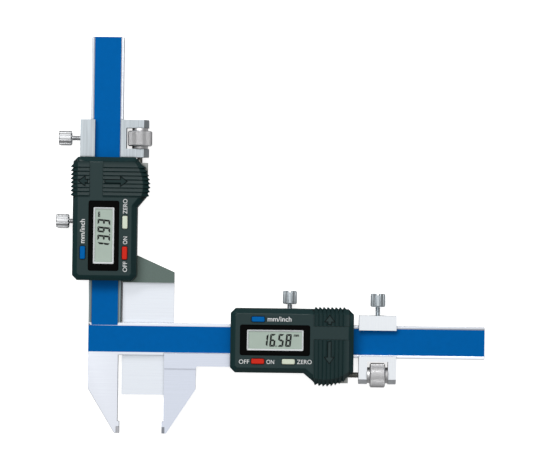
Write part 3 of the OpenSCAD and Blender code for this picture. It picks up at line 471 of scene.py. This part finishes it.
def brokenEdges(node, width, crown):
    # flat faces round a window are left whole or cut into triangles, whichever bevels cleanly
    tries = []
    for cut in (None, "BEAUTY", "EAR_CLIP"):
        shape = mergedCopy(node)
        if cut:
            concave = [face for face in shape.faces
                       if not all(loop.is_convex for loop in face.loops)]
            bmesh.ops.triangulate(shape, faces=concave, ngon_method=cut)
        if crown:
            roundCrown(shape, node, *crown)
        roundEdges(shape, width, chosen=clearOfStrips if node == "main_frame" else None)
        folded = foldedArea(shape)
        tries.append((folded, len(tries), shape))
        if folded < meshing["allowedFold"]:
            break
    tries.sort()
    for other in tries[1:]:
        other[2].free()
    if tries[0][0] >= meshing["allowedFold"]:
        print("folded", node, round(tries[0][0], 4))
    return tries[0][2]


def finishMesh(shape, name, materials, smoothAngle=meshing["smoothAngle"]):
    # a smooth mesh whose large flat faces keep their own direction up to the rounded edges
    mesh = bpy.data.meshes.new(name)
    for face in shape.faces:
        face.smooth = True
    shape.to_mesh(mesh)
    shape.free()
    for material in materials:
        mesh.materials.append(material)
    mesh.set_sharp_from_angle(angle=math.radians(smoothAngle))
    carrier = bpy.data.objects.new(name, mesh)
    scene.collection.objects.link(carrier)
    weighting = carrier.modifiers.new("flat_faces_first", "WEIGHTED_NORMAL")
    weighting.keep_sharp = True
    flat = bpy.data.meshes.new_from_object(
        carrier.evaluated_get(bpy.context.evaluated_depsgraph_get()))
    carrier.modifiers.remove(weighting)
    bpy.data.objects.remove(carrier)
    bpy.data.meshes.remove(mesh)
    flat.name = name
    return flat


# for the edges of the top face: the width, and the number of flat steps it is rounded in
crownBreaks = {"housing": (0.6, 5), "battery_cover": (0.3, 3), "port_cover": (0.3, 3),
               "lcd_holder": (0.45, 1)}
# for the other edges: the width, and the slot of the piece
edgeBreaks = {
    "main_frame": (0.2, "frame_steel"),
    "fixed_jaw_tip": (0.06, "hard_metal"),
    "h_jaw_tip": (0.06, "hard_metal"),
}
unitEdgeBreaks = {
    "slider_frame": (0.18, "slider_steel"),
    "housing": (0.35, "housing_plastic"),
    "battery_cover": (0.12, "housing_plastic"),
    "port_cover": (0.12, "housing_plastic"),
    "clamp": (0.2, "clamp_steel"),
    "bezel": (0.15, "bezel_plastic"),
    "lcd_holder": (0.15, "white_plastic"),
    "housing_screws": (0.06, "dark_screw"),
    "battery": (0.25, "cell_steel"),
}
for prefix in unitPlace:
    for part, look in unitEdgeBreaks.items():
        edgeBreaks[f"{prefix}_{part}"] = look


# Parts of a solid with a colour of their own, a finish or painted shade, by their place in a
# slider's frame

frameLook = {"railEdge": -13.3, "lugStart": 45, "armEnd": 13.6, "channelStart": 0.3,
             "nearBeam": -8.6, "bladeFace": 2.2}
# painted shade: the walls of the nut's slot are coloured dark; its top edges are ground with the
# clamp's face
slotLook = {"start": 4.0, "end": 14.7, "root": -9.5, "front": 9.1}
# painted shade: the stretch of the upright beam on which the slider works is coloured darker, and
# its edge by the gap darker still
railShadeLook = {"end": 30.0, "halfWidth": 8.1, "edge": -7.72, "overlap": 0.1}
clampStart = {prefix: (unitPlace[prefix].inverted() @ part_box(f"{prefix}_clamp")[0]).x / mm
              for prefix in unitPlace}
crossEdge = ((middle("h_scale_strip").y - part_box("v_housing")[0].y) / mm
             + railShadeLook["halfWidth"] - railShadeLook["overlap"])


# the lug's faces get the darker steel of painted shade
def isLug(place):
    return place.x > frameLook["lugStart"] and place.y < frameLook["railEdge"]


def isArm(place):
    outside = place.y < frameLook["railEdge"] and place.x < frameLook["armEnd"]
    below = place.y < frameLook["nearBeam"] and place.x < frameLook["channelStart"]
    return place.z > frameLook["bladeFace"] and (outside or below)


def isSlotWall(start):
    return lambda place: (slotLook["start"] < place.x - start < slotLook["end"]
                          and place.y < slotLook["root"] and place.z < slotLook["front"])


def isShadedRail(place):
    return crossEdge < place.x < railShadeLook["end"] and abs(place.y) < railShadeLook["halfWidth"]


def isShadedRailEdge(place):
    return isShadedRail(place) and place.y < railShadeLook["edge"]


# for each solid: the slider's frame used, the planes that end a region, and the regions
ownFinishAndShade = {
    "main_frame": ("v", ((crossEdge, "x"), (railShadeLook["end"], "x"), (railShadeLook["edge"], "y")),
                   {"shadedRailSteel": isShadedRail, "shadedRailEdge": isShadedRailEdge}),
    "h_slider_frame": ("h", (), {"shadedLugSteel": isLug}),
    "v_slider_frame": ("v", ((frameLook["channelStart"], "x"), (frameLook["railEdge"], "y")),
                       {"shadedLugSteel": isLug, "castArm": isArm}),
    "h_clamp": ("h", (), {"shadedSlotSteel": isSlotWall(clampStart["h"])}),
    "v_clamp": ("v", (), {"shadedSlotSteel": isSlotWall(clampStart["v"])}),
}


def splitFinish(shape, prefix, cuts, regions):
    # cuts the faces where a region ends, and gives each region's faces their material's number
    for value, axis in cuts:
        normal = Vector((axis == "x", axis == "y", 0))
        bmesh.ops.bisect_plane(
            shape, geom=list(shape.verts) + list(shape.edges) + list(shape.faces),
            plane_co=unitPlace[prefix] @ (normal * value * mm),
            plane_no=unitPlace[prefix].to_3x3() @ normal)
    toUnit = unitPlace[prefix].inverted()
    for face in shape.faces:
        place = (toUnit @ face.calc_center_median()) / mm
        for number, isHere in enumerate(regions.values(), 1):
            if isHere(place):
                face.material_index = number


for node, (width, slot) in edgeBreaks.items():
    crown = crownBreaks.get(node.partition("_")[2])
    shape = brokenEdges(node, width, crown)
    prefix, cuts, regions = ownFinishAndShade.get(node, ("h", (), {}))
    splitFinish(shape, prefix, cuts, regions)
    materials = [paint[nodeFinish[node]]] + [paint[finish] for finish in regions]
    angle = meshing["stepAngle" if crown else "smoothAngle"]
    addFinished(node, finishMesh(shape, f"{node}_finished", materials, angle))
print("edges broken:", len(edgeBreaks))


# Buttons: silicone caps with softly rounded tops

buttonLook = {"edge": 0.5, "rounding": 4}
buttonSlots = {"unit_button": "blue_button", "power_button": "red_button",
               "zero_button": "pale_button"}
for prefix in unitPlace:
    for part, slot in buttonSlots.items():
        node = f"{prefix}_{part}"
        shape = mergedCopy(node)
        top = corners(shape)[1].z - meshing["sameLevel"] * mm
        roundEdges(shape, buttonLook["edge"], buttonLook["rounding"],
                   chosen=lambda place: place.z > top)
        addFinished(node, finishMesh(shape, f"{node}_finished", [paint[nodeFinish[node]]]))
print("buttons rounded")


# Repeats are grown by Geometry Nodes trees with named inputs, each run once on a core mesh

def newTree(name, inputs):
    tree = bpy.data.node_groups.new(name, "GeometryNodeTree")
    tree.interface.new_socket("Geometry", in_out="INPUT", socket_type="NodeSocketGeometry")
    for label, kind in inputs.items():
        tree.interface.new_socket(label, in_out="INPUT", socket_type=kind)
    tree.interface.new_socket("Geometry", in_out="OUTPUT", socket_type="NodeSocketGeometry")
    return tree, addNode(tree, "NodeGroupInput")


def closeTree(tree, start, grown):
    # the grown shape joined to the core, real and painted
    both = addNode(tree, "GeometryNodeJoinGeometry", {"Geometry": grown})
    tree.links.new(start.outputs["Geometry"], both.inputs["Geometry"])
    real = addNode(tree, "GeometryNodeRealizeInstances", {"Geometry": both.outputs["Geometry"]})
    painted = addNode(tree, "GeometryNodeSetMaterial", {
        "Geometry": real.outputs["Geometry"], "Material": start.outputs["Material"]})
    addNode(tree, "NodeGroupOutput", {"Geometry": painted.outputs["Geometry"]})


def runTree(tree, core, values):
    # the core with what the tree grows on it, as a plain mesh
    carrier = bpy.data.objects.new(core.name, core)
    scene.collection.objects.link(carrier)
    modifier = carrier.modifiers.new("grow", "NODES")
    modifier.node_group = tree
    sockets = {item.name: item.identifier for item in tree.interface.items_tree
               if item.in_out == "INPUT"}
    for label, value in values.items():
        modifier[sockets[label]] = value
    grown = bpy.data.meshes.new_from_object(
        carrier.evaluated_get(bpy.context.evaluated_depsgraph_get()))
    carrier.modifiers.remove(modifier)
    bpy.data.objects.remove(carrier)
    name = core.name
    bpy.data.meshes.remove(core)
    grown.name = name
    return grown


def threadTree():
    # a helical thread along z, with a pointed crest
    tree, start = newTree("rolled_thread", {
        "Root Radius": "NodeSocketFloat", "Depth": "NodeSocketFloat", "Pitch": "NodeSocketFloat",
        "Start": "NodeSocketFloat", "Length": "NodeSocketFloat", "Material": "NodeSocketMaterial"})
    inputs = start.outputs
    turns = addNode(tree, "ShaderNodeMath", {0: inputs["Length"], 1: inputs["Pitch"]},
                    operation="DIVIDE")
    helix = addNode(tree, "GeometryNodeCurveSpiral", {
        "Resolution": 20, "Rotations": turns.outputs["Value"],
        "Start Radius": inputs["Root Radius"], "End Radius": inputs["Root Radius"],
        "Height": inputs["Length"], "Reverse": True})
    upright = addNode(tree, "GeometryNodeSetCurveNormal", {"Curve": helix.outputs["Curve"]},
                      mode="Z_UP")
    crest = addNode(tree, "GeometryNodeCurvePrimitiveCircle", {
        "Resolution": 4, "Radius": inputs["Depth"]})
    ridge = addNode(tree, "GeometryNodeCurveToMesh", {
        "Curve": upright.outputs["Curve"], "Profile Curve": crest.outputs["Curve"],
        "Fill Caps": True})
    offset = addNode(tree, "ShaderNodeCombineXYZ", {"Z": inputs["Start"]})
    placed = addNode(tree, "GeometryNodeTransform", {
        "Geometry": ridge.outputs["Mesh"], "Translation": offset.outputs["Vector"]})
    closeTree(tree, start, placed.outputs["Geometry"])
    return tree


def knurlTree():
    # a ring of straight ridges round z
    tree, start = newTree("straight_knurl", {
        "Count": "NodeSocketInt", "Ring Radius": "NodeSocketFloat",
        "Ridge Radius": "NodeSocketFloat", "Ridge Length": "NodeSocketFloat",
        "Material": "NodeSocketMaterial"})
    inputs = start.outputs
    ridge = addNode(tree, "GeometryNodeMeshCylinder", {
        "Vertices": 4, "Radius": inputs["Ridge Radius"], "Depth": inputs["Ridge Length"]})
    offset = addNode(tree, "ShaderNodeCombineXYZ", {"X": inputs["Ring Radius"]})
    outer = addNode(tree, "GeometryNodeTransform", {
        "Geometry": ridge.outputs["Mesh"], "Translation": offset.outputs["Vector"]})
    centres = addNode(tree, "GeometryNodePoints", {"Count": inputs["Count"]})
    index = addNode(tree, "GeometryNodeInputIndex")
    step = addNode(tree, "ShaderNodeMath", {0: 2 * math.pi, 1: inputs["Count"]},
                   operation="DIVIDE")
    angle = addNode(tree, "ShaderNodeMath", {0: index.outputs["Index"], 1: step.outputs["Value"]},
                    operation="MULTIPLY")
    spin = addNode(tree, "ShaderNodeCombineXYZ", {"Z": angle.outputs["Value"]})
    turn = addNode(tree, "FunctionNodeEulerToRotation", {"Euler": spin.outputs["Vector"]})
    ring = addNode(tree, "GeometryNodeInstanceOnPoints", {
        "Points": centres.outputs["Points"], "Instance": outer.outputs["Geometry"],
        "Rotation": turn.outputs["Rotation"]})
    closeTree(tree, start, ring.outputs["Instances"])
    return tree


thread = threadTree()
knurl = knurlTree()


def axisCopy(node, prefix, axis):
    # the solid laid along z from its lower end, and the matrix that takes it back
    shape = mergedCopy(node)
    bmesh.ops.transform(shape, matrix=unitPlace[prefix].inverted(), verts=shape.verts)
    low, high = corners(shape)
    start = (low + high) / 2
    start[axis] = low[axis]
    turn = Matrix.Rotation(quarter, 4, "Y") if axis == 0 else Matrix.Rotation(-quarter, 4, "X")
    own = Matrix.Translation(start) @ turn
    bmesh.ops.transform(shape, matrix=own.inverted(), verts=shape.verts)
    return shape, unitPlace[prefix] @ own, high[axis] - low[axis]


def addGrown(node, shape, tree, values, back):
    material = paint[nodeFinish[node]]
    core = finishMesh(shape, f"{node}_finished", [material])
    mesh = runTree(tree, core, values | {"Material": material})
    mesh.transform(back)
    addFinished(node, mesh)


def narrow(vert, ratio):
    vert.co.x *= ratio
    vert.co.y *= ratio


# Thumb screws: fluted heads on M2.5 threaded shanks

screwLook = {"headLength": 6.5, "headReach": 1.4, "headEdge": 0.1, "shankReach": 1.3,
             "crest": 1.225, "depth": 0.22, "pitch": 0.45, "plainEnd": 0.4}
for prefix in unitPlace:
    for part in ("lock_screw", "clamp_lock_screw"):
        node = f"{prefix}_{part}"
        shape, back, length = axisCopy(node, prefix, 1)
        headStart = length - screwLook["headLength"] * mm
        shankEnd = headStart + meshing["sameLevel"] * mm
        root = (screwLook["crest"] - screwLook["depth"]) * mm
        for vert in shape.verts:
            if vert.co.z < shankEnd and vert.co.xy.length < screwLook["shankReach"] * mm:
                narrow(vert, root / (screwLook["crest"] * mm))
        roundEdges(shape, screwLook["headEdge"],
                   chosen=lambda place: place.xy.length > screwLook["headReach"] * mm)
        addGrown(node, shape, thread, {
            "Root Radius": root, "Depth": screwLook["depth"] * mm,
            "Pitch": screwLook["pitch"] * mm, "Start": screwLook["plainEnd"] * mm,
            "Length": headStart - 2 * screwLook["plainEnd"] * mm}, back)
print("thumb screws threaded")


# Adjusting rods: M3 threads along their free length and a little way into the lug

rodLook = {"crest": 1.45, "depth": 0.25, "pitch": 0.5, "free": 20, "inLug": 1, "point": 0.6}
for prefix in unitPlace:
    node = f"{prefix}_adjusting_rod"
    shape, back, length = axisCopy(node, prefix, 0)
    root = (rodLook["crest"] - rodLook["depth"]) * mm
    for vert in shape.verts:
        narrow(vert, root / (rodLook["crest"] * mm))
    threaded = rodLook["free"] + rodLook["inLug"]
    addGrown(node, shape, thread, {
        "Root Radius": root, "Depth": rodLook["depth"] * mm, "Pitch": rodLook["pitch"] * mm,
        "Start": length - threaded * mm, "Length": (threaded - rodLook["point"]) * mm}, back)
print("adjusting rods threaded")


# Adjusting nuts: a straight knurl round the rim

nutLook = {"rimRadius": 6.05, "edge": 0.08, "ridges": 64, "knurlDepth": 0.14,
           "ridgeRadius": 0.161, "ridgeLength": 6.6}
for prefix in unitPlace:
    node = f"{prefix}_adjusting_nut"
    shape, back, length = axisCopy(node, prefix, 0)
    root = (nutLook["rimRadius"] - nutLook["knurlDepth"]) * mm
    for vert in shape.verts:
        vert.co.z -= length / 2
        if vert.co.xy.length > root:
            narrow(vert, root / vert.co.xy.length)
    roundEdges(shape, nutLook["edge"])
    back @= Matrix.Translation((0, 0, length / 2))
    addGrown(node, shape, knurl, {
        "Count": nutLook["ridges"],
        "Ring Radius": (nutLook["rimRadius"] - nutLook["ridgeRadius"]) * mm,
        "Ridge Radius": nutLook["ridgeRadius"] * mm,
        "Ridge Length": nutLook["ridgeLength"] * mm}, back)
print("adjusting nuts knurled")


# Display: slanted seven-segment figures and a small unit sign, printed on the glass

def flatShape(name, outlines, level, thickness, prefix, material):
    # outlines in millimetres in a slider's frame, as thin solids that lie on a level
    shape = bmesh.new()
    for outline in outlines:
        face = shape.faces.new([shape.verts.new((x * mm, y * mm, level)) for x, y in outline])
        grown = bmesh.ops.extrude_face_region(shape, geom=[face])
        lifted = [part for part in grown["geom"] if isinstance(part, bmesh.types.BMVert)]
        bmesh.ops.translate(shape, vec=(0, 0, thickness * mm), verts=lifted)
    bmesh.ops.recalc_face_normals(shape, faces=shape.faces)
    bmesh.ops.transform(shape, matrix=unitPlace[prefix], verts=shape.verts)
    return finishMesh(shape, name, [material], meshing["printAngle"])


figure = {"width": 2.85, "height": 6.3, "stroke": 0.92, "gap": 0.05, "cut": 0.15, "pitch": 3.7,
          "dotGap": 0.4, "dot": 0.55, "lastX": 26.9, "baseY": -2.65, "slant": 5.5,
          "thickness": 0.02}
readings = {"h": "16.58", "v": "13.93"}
lit = {"1": "bc", "3": "abcdg", "5": "acdfg", "6": "acdefg", "8": "abcdefg", "9": "abcdfg"}


def segmentOutline(key):
    # one bar of a figure that is drawn from its lower left corner: a is the top bar, b to f go
    # on clockwise, and g is the middle one
    w, h, s, g, c = (figure[side] for side in ("width", "height", "stroke", "gap", "cut"))
    half = h / 2
    if key == "g":
        return [(s / 2 + g, half), (s + g, half + s / 2), (w - s - g, half + s / 2),
                (w - s / 2 - g, half), (w - s - g, half - s / 2), (s + g, half - s / 2)]
    if key in "ad":
        bar = [(c, h), (w - c, h), (w - s - g, h - s), (s + g, h - s)]
        return bar if key == "a" else [(x, h - y) for x, y in bar]
    bar = [(0, h - c), (s, h - s - g), (s, half + s / 2 + g / 2), (s / 2, half + g), (0, half + g)]
    if key in "bc":
        bar = [(w - x, y) for x, y in bar]
    return bar if key in "bf" else [(x, h - y) for x, y in bar]


def figureOutlines(reading):
    lean = math.tan(math.radians(figure["slant"]))
    outlines = []
    x = figure["lastX"]
    for sign in reversed(reading):
        if sign == ".":
            x -= figure["dotGap"]
            side = figure["dot"]
            left = x + figure["pitch"] - side
            bars = [[(0, 0), (side, 0), (side, side), (0, side)]]
        else:
            left = x
            bars = [segmentOutline(key) for key in lit[sign]]
            x -= figure["pitch"]
        outlines += [[(left + px + py * lean, figure["baseY"] + py) for px, py in bar]
                     for bar in bars]
    return outlines


for prefix, reading in readings.items():
    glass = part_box(f"{prefix}_lcd")[1].z
    mesh = flatShape(f"{prefix}_reading", figureOutlines(reading), glass, figure["thickness"],
                     prefix, paint["displayInk"])
    addPiece(mesh.name, mesh, f"{prefix}_slider")
print("readings drawn")


# Lettering: text made into thin solids and fitted to its place on the face, or on the display.
# The weight thickens the strokes, as a share of the text's size.

lettering = {
    "mm/inch": {"x": (18.25, 30.0), "y": (9.8, 12.25), "name": "unit_label", "weight": 0.012},
    "OFF": {"x": (4.35, 9.45), "y": (-11.2, -9.1), "name": "off_label", "weight": 0.004},
    "ON": {"x": (17.95, 21.7), "y": (-11.15, -9.05), "name": "on_label", "weight": 0.004},
    "ZERO": {"x": (32.9, 40.2), "y": (-10.95, -8.85), "name": "zero_label", "weight": 0.004},
}
displaySign = {"mm": {"x": (31.2, 33.8), "y": (2.4, 3.5), "name": "unit_sign",
                      "weight": 0.045}}
printLook = {"halfThickness": 0.01, "weld": 0.00001, "faceOverBezel": 0.3}


def textMesh(text, place, level, prefix, material):
    curve = bpy.data.curves.new(place["name"], "FONT")
    curve.body = text
    curve.offset = place["weight"]
    curve.extrude = printLook["halfThickness"]
    carrier = bpy.data.objects.new(place["name"], curve)
    mesh = bpy.data.meshes.new_from_object(carrier)
    bpy.data.objects.remove(carrier)
    shape = bmesh.new()
    shape.from_mesh(mesh)
    bmesh.ops.remove_doubles(shape, verts=shape.verts, dist=printLook["weld"])
    low, high = corners(shape)
    (x0, x1), (y0, y1) = place["x"], place["y"]
    for vert in shape.verts:
        vert.co.x = (x0 + (vert.co.x - low.x) / (high.x - low.x) * (x1 - x0)) * mm
        vert.co.y = (y0 + (vert.co.y - low.y) / (high.y - low.y) * (y1 - y0)) * mm
        vert.co.z = level + (vert.co.z - low.z) * mm
    bmesh.ops.transform(shape, matrix=unitPlace[prefix], verts=shape.verts)
    return finishMesh(shape, f"{prefix}_{place['name']}", [material], meshing["printAngle"])


for prefix in unitPlace:
    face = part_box(f"{prefix}_bezel")[1].z + printLook["faceOverBezel"] * mm
    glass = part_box(f"{prefix}_lcd")[1].z
    for texts, level, ink, slot in ((lettering, face, "labelInk", "white_plastic"),
                                    (displaySign, glass, "displayInk", "bezel_plastic")):
        for text, place in texts.items():
            mesh = textMesh(text, place, level, prefix, paint[ink])
            addPiece(mesh.name, mesh, f"{prefix}_slider")
print("lettering placed")


# What shows when the covers are slid off: the cell's plus sign and the port's four contacts

cellMark = {"arm": 1.6, "halfBar": 0.5, "thickness": 0.03}
portPads = {"count": 4, "pitch": 2.54, "width": 1.4, "low": 9.7, "high": 12.0, "thickness": 0.05}


def plusOutline(centre):
    arm, bar = cellMark["arm"], cellMark["halfBar"]
    sides = [(bar, bar), (bar, arm), (-bar, arm), (-bar, bar), (-arm, bar), (-arm, -bar),
             (-bar, -bar), (-bar, -arm), (bar, -arm), (bar, -bar), (arm, -bar), (arm, bar)]
    return [(centre.x + x, centre.y + y) for x, y in sides]


def padOutlines(centre):
    half, low, high = portPads["width"] / 2, portPads["low"], portPads["high"]
    first = centre.x - portPads["pitch"] * (portPads["count"] - 1) / 2
    middles = [first + i * portPads["pitch"] for i in range(portPads["count"])]
    return [[(x - half, low), (x + half, low), (x + half, high), (x - half, high)]
            for x in middles]


for prefix in unitPlace:
    centre = unitPlace[prefix].inverted() @ middle(f"{prefix}_battery") / mm
    mesh = flatShape(f"{prefix}_cell_mark", [plusOutline(centre)],
                     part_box(f"{prefix}_battery")[1].z, cellMark["thickness"], prefix,
                     paint["darkScrew"])
    addPiece(mesh.name, mesh, f"{prefix}_slider")
    mesh = flatShape(f"{prefix}_port_pads", padOutlines(centre),
                     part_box(f"{prefix}_circuit_board")[1].z, portPads["thickness"], prefix,
                     paint["gold"])
    addPiece(mesh.name, mesh, f"{prefix}_slider")
print("cell marks and port contacts placed")


# Camera, as the photograph was taken: straight down from far off, turned by under a degree

shot = {"distance": 1600, "aimX": -0.4, "aimY": 1.0, "turn": 0.77, "viewWidth": 267.3,
        "subjectHeight": 6, "sensorWidth": 36, "reach": 50000}
camera = bpy.data.cameras.new("camera")
camera.sensor_width = shot["sensorWidth"]
camera.lens = shot["sensorWidth"] * (shot["distance"] - shot["subjectHeight"]) / shot["viewWidth"]
camera.clip_end = shot["reach"] * mm
cameraObject = bpy.data.objects.new("camera", camera)
cameraObject.location = (shot["aimX"] * mm, shot["aimY"] * mm, shot["distance"] * mm)
cameraObject.rotation_euler = (0, 0, math.radians(shot["turn"]))
scene.collection.objects.link(cameraObject)
scene.camera = cameraObject


# Light: a pale studio sky, brightest overhead and a little behind, and one long lamp at the
# upper left

studio = {"overhead": 1.08, "horizon": 0.2, "lean": 0.3, "squeeze": 1.7, "fadeEnd": 0.52,
          "fadeStart": 0.95, "lampPower": 8.5, "lampLength": 1.2, "lampWidth": 0.35,
          "lampPlace": (-0.4, 0.75, 1.2)}
world = bpy.data.worlds.new("studio")
scene.world = world
world.use_nodes = True
tree = world.node_tree
background = tree.nodes["Background"]
background.inputs["Color"].default_value = (1, 1, 1, 1)
direction = addNode(tree, "ShaderNodeTexCoord")
# the bright part is longer from back to front than from side to side
squeezed = addNode(tree, "ShaderNodeVectorMath", {
    0: direction.outputs["Generated"], 1: (studio["squeeze"], 1, 1)}, operation="MULTIPLY")
towards = addNode(tree, "ShaderNodeVectorMath", {0: squeezed.outputs["Vector"]},
                  operation="NORMALIZE")
height = addNode(tree, "ShaderNodeVectorMath", {
    0: towards.outputs["Vector"], 1: Vector((0, studio["lean"], 1)).normalized()},
    operation="DOT_PRODUCT")
skyLevel = addNode(tree, "ShaderNodeMapRange", {
    "Value": height.outputs["Value"], "From Min": studio["fadeEnd"],
    "From Max": studio["fadeStart"],
    "To Min": studio["horizon"], "To Max": studio["overhead"]})
tree.links.new(skyLevel.outputs["Result"], background.inputs["Strength"])

lamp = bpy.data.lights.new("soft_lamp", "AREA")
lamp.energy = studio["lampPower"]
lamp.shape = "RECTANGLE"
lamp.size = studio["lampLength"]
lamp.size_y = studio["lampWidth"]
lampObject = bpy.data.objects.new("soft_lamp", lamp)
lampObject.location = studio["lampPlace"]
lampObject.rotation_euler = Vector(studio["lampPlace"]).to_track_quat("Z", "Y").to_euler()
scene.collection.objects.link(lampObject)


# Floor: plain pale paper

floorLook = {"colour": "#f4f4f4", "aroundColour": "#b8b8b8", "roughness": 0.9, "size": 6.0,
             "lift": 0.8}
# the middle cell is the narrow gap between the upright beam and the tongue: it isn't lifted, so
# that it keeps its shadow
gapLook = {"x": (crossEdge - 0.4, 2.0), "y": (-8.75, -7.9)}
low, high = (unitPlace["v"] @ Vector((x * mm, y * mm, 0))
             for x, y in zip(gapLook["x"], reversed(gapLook["y"])))
half = floorLook["size"] / 2
floorMesh = bpy.data.meshes.new("floor")
floorMesh.from_pydata(
    [(x, y, 0) for y in (-half, low.y, high.y, half) for x in (-half, low.x, high.x, half)], [],
    [(i, i + 1, i + 5, i + 4) for i in (0, 1, 2, 4, 5, 6, 8, 9, 10)])
floorMesh.polygons[4].material_index = 1
floor = bpy.data.objects.new("floor", floorMesh)
scene.collection.objects.link(floor)
material, tree, shader = startMaterial("paper_floor", floorLook["colour"],
                                       floorLook["roughness"], specular=0.1)
floorMesh.materials.append(material)
floorMesh.materials.append(startMaterial("paper_in_gap", floorLook["colour"],
                                         floorLook["roughness"])[0])
rays = addNode(tree, "ShaderNodeLightPath")
# the paper is grey to everything but the camera, as it is beyond a photographer's sheet
paper = addNode(tree, "ShaderNodeMix", {
    "Factor": rays.outputs["Is Camera Ray"], "A": linear(floorLook["aroundColour"]),
    "B": linear(floorLook["colour"])}, data_type="RGBA")
lift = addNode(tree, "ShaderNodeMath", {
    0: rays.outputs["Is Camera Ray"], 1: floorLook["lift"]}, operation="MULTIPLY")
tree.links.new(paper.outputs["Result"], shader.inputs["Base Color"])
shader.inputs["Emission Color"].default_value = (1, 1, 1, 1)
tree.links.new(lift.outputs["Value"], shader.inputs["Emission Strength"])
print("camera, light and floor made")
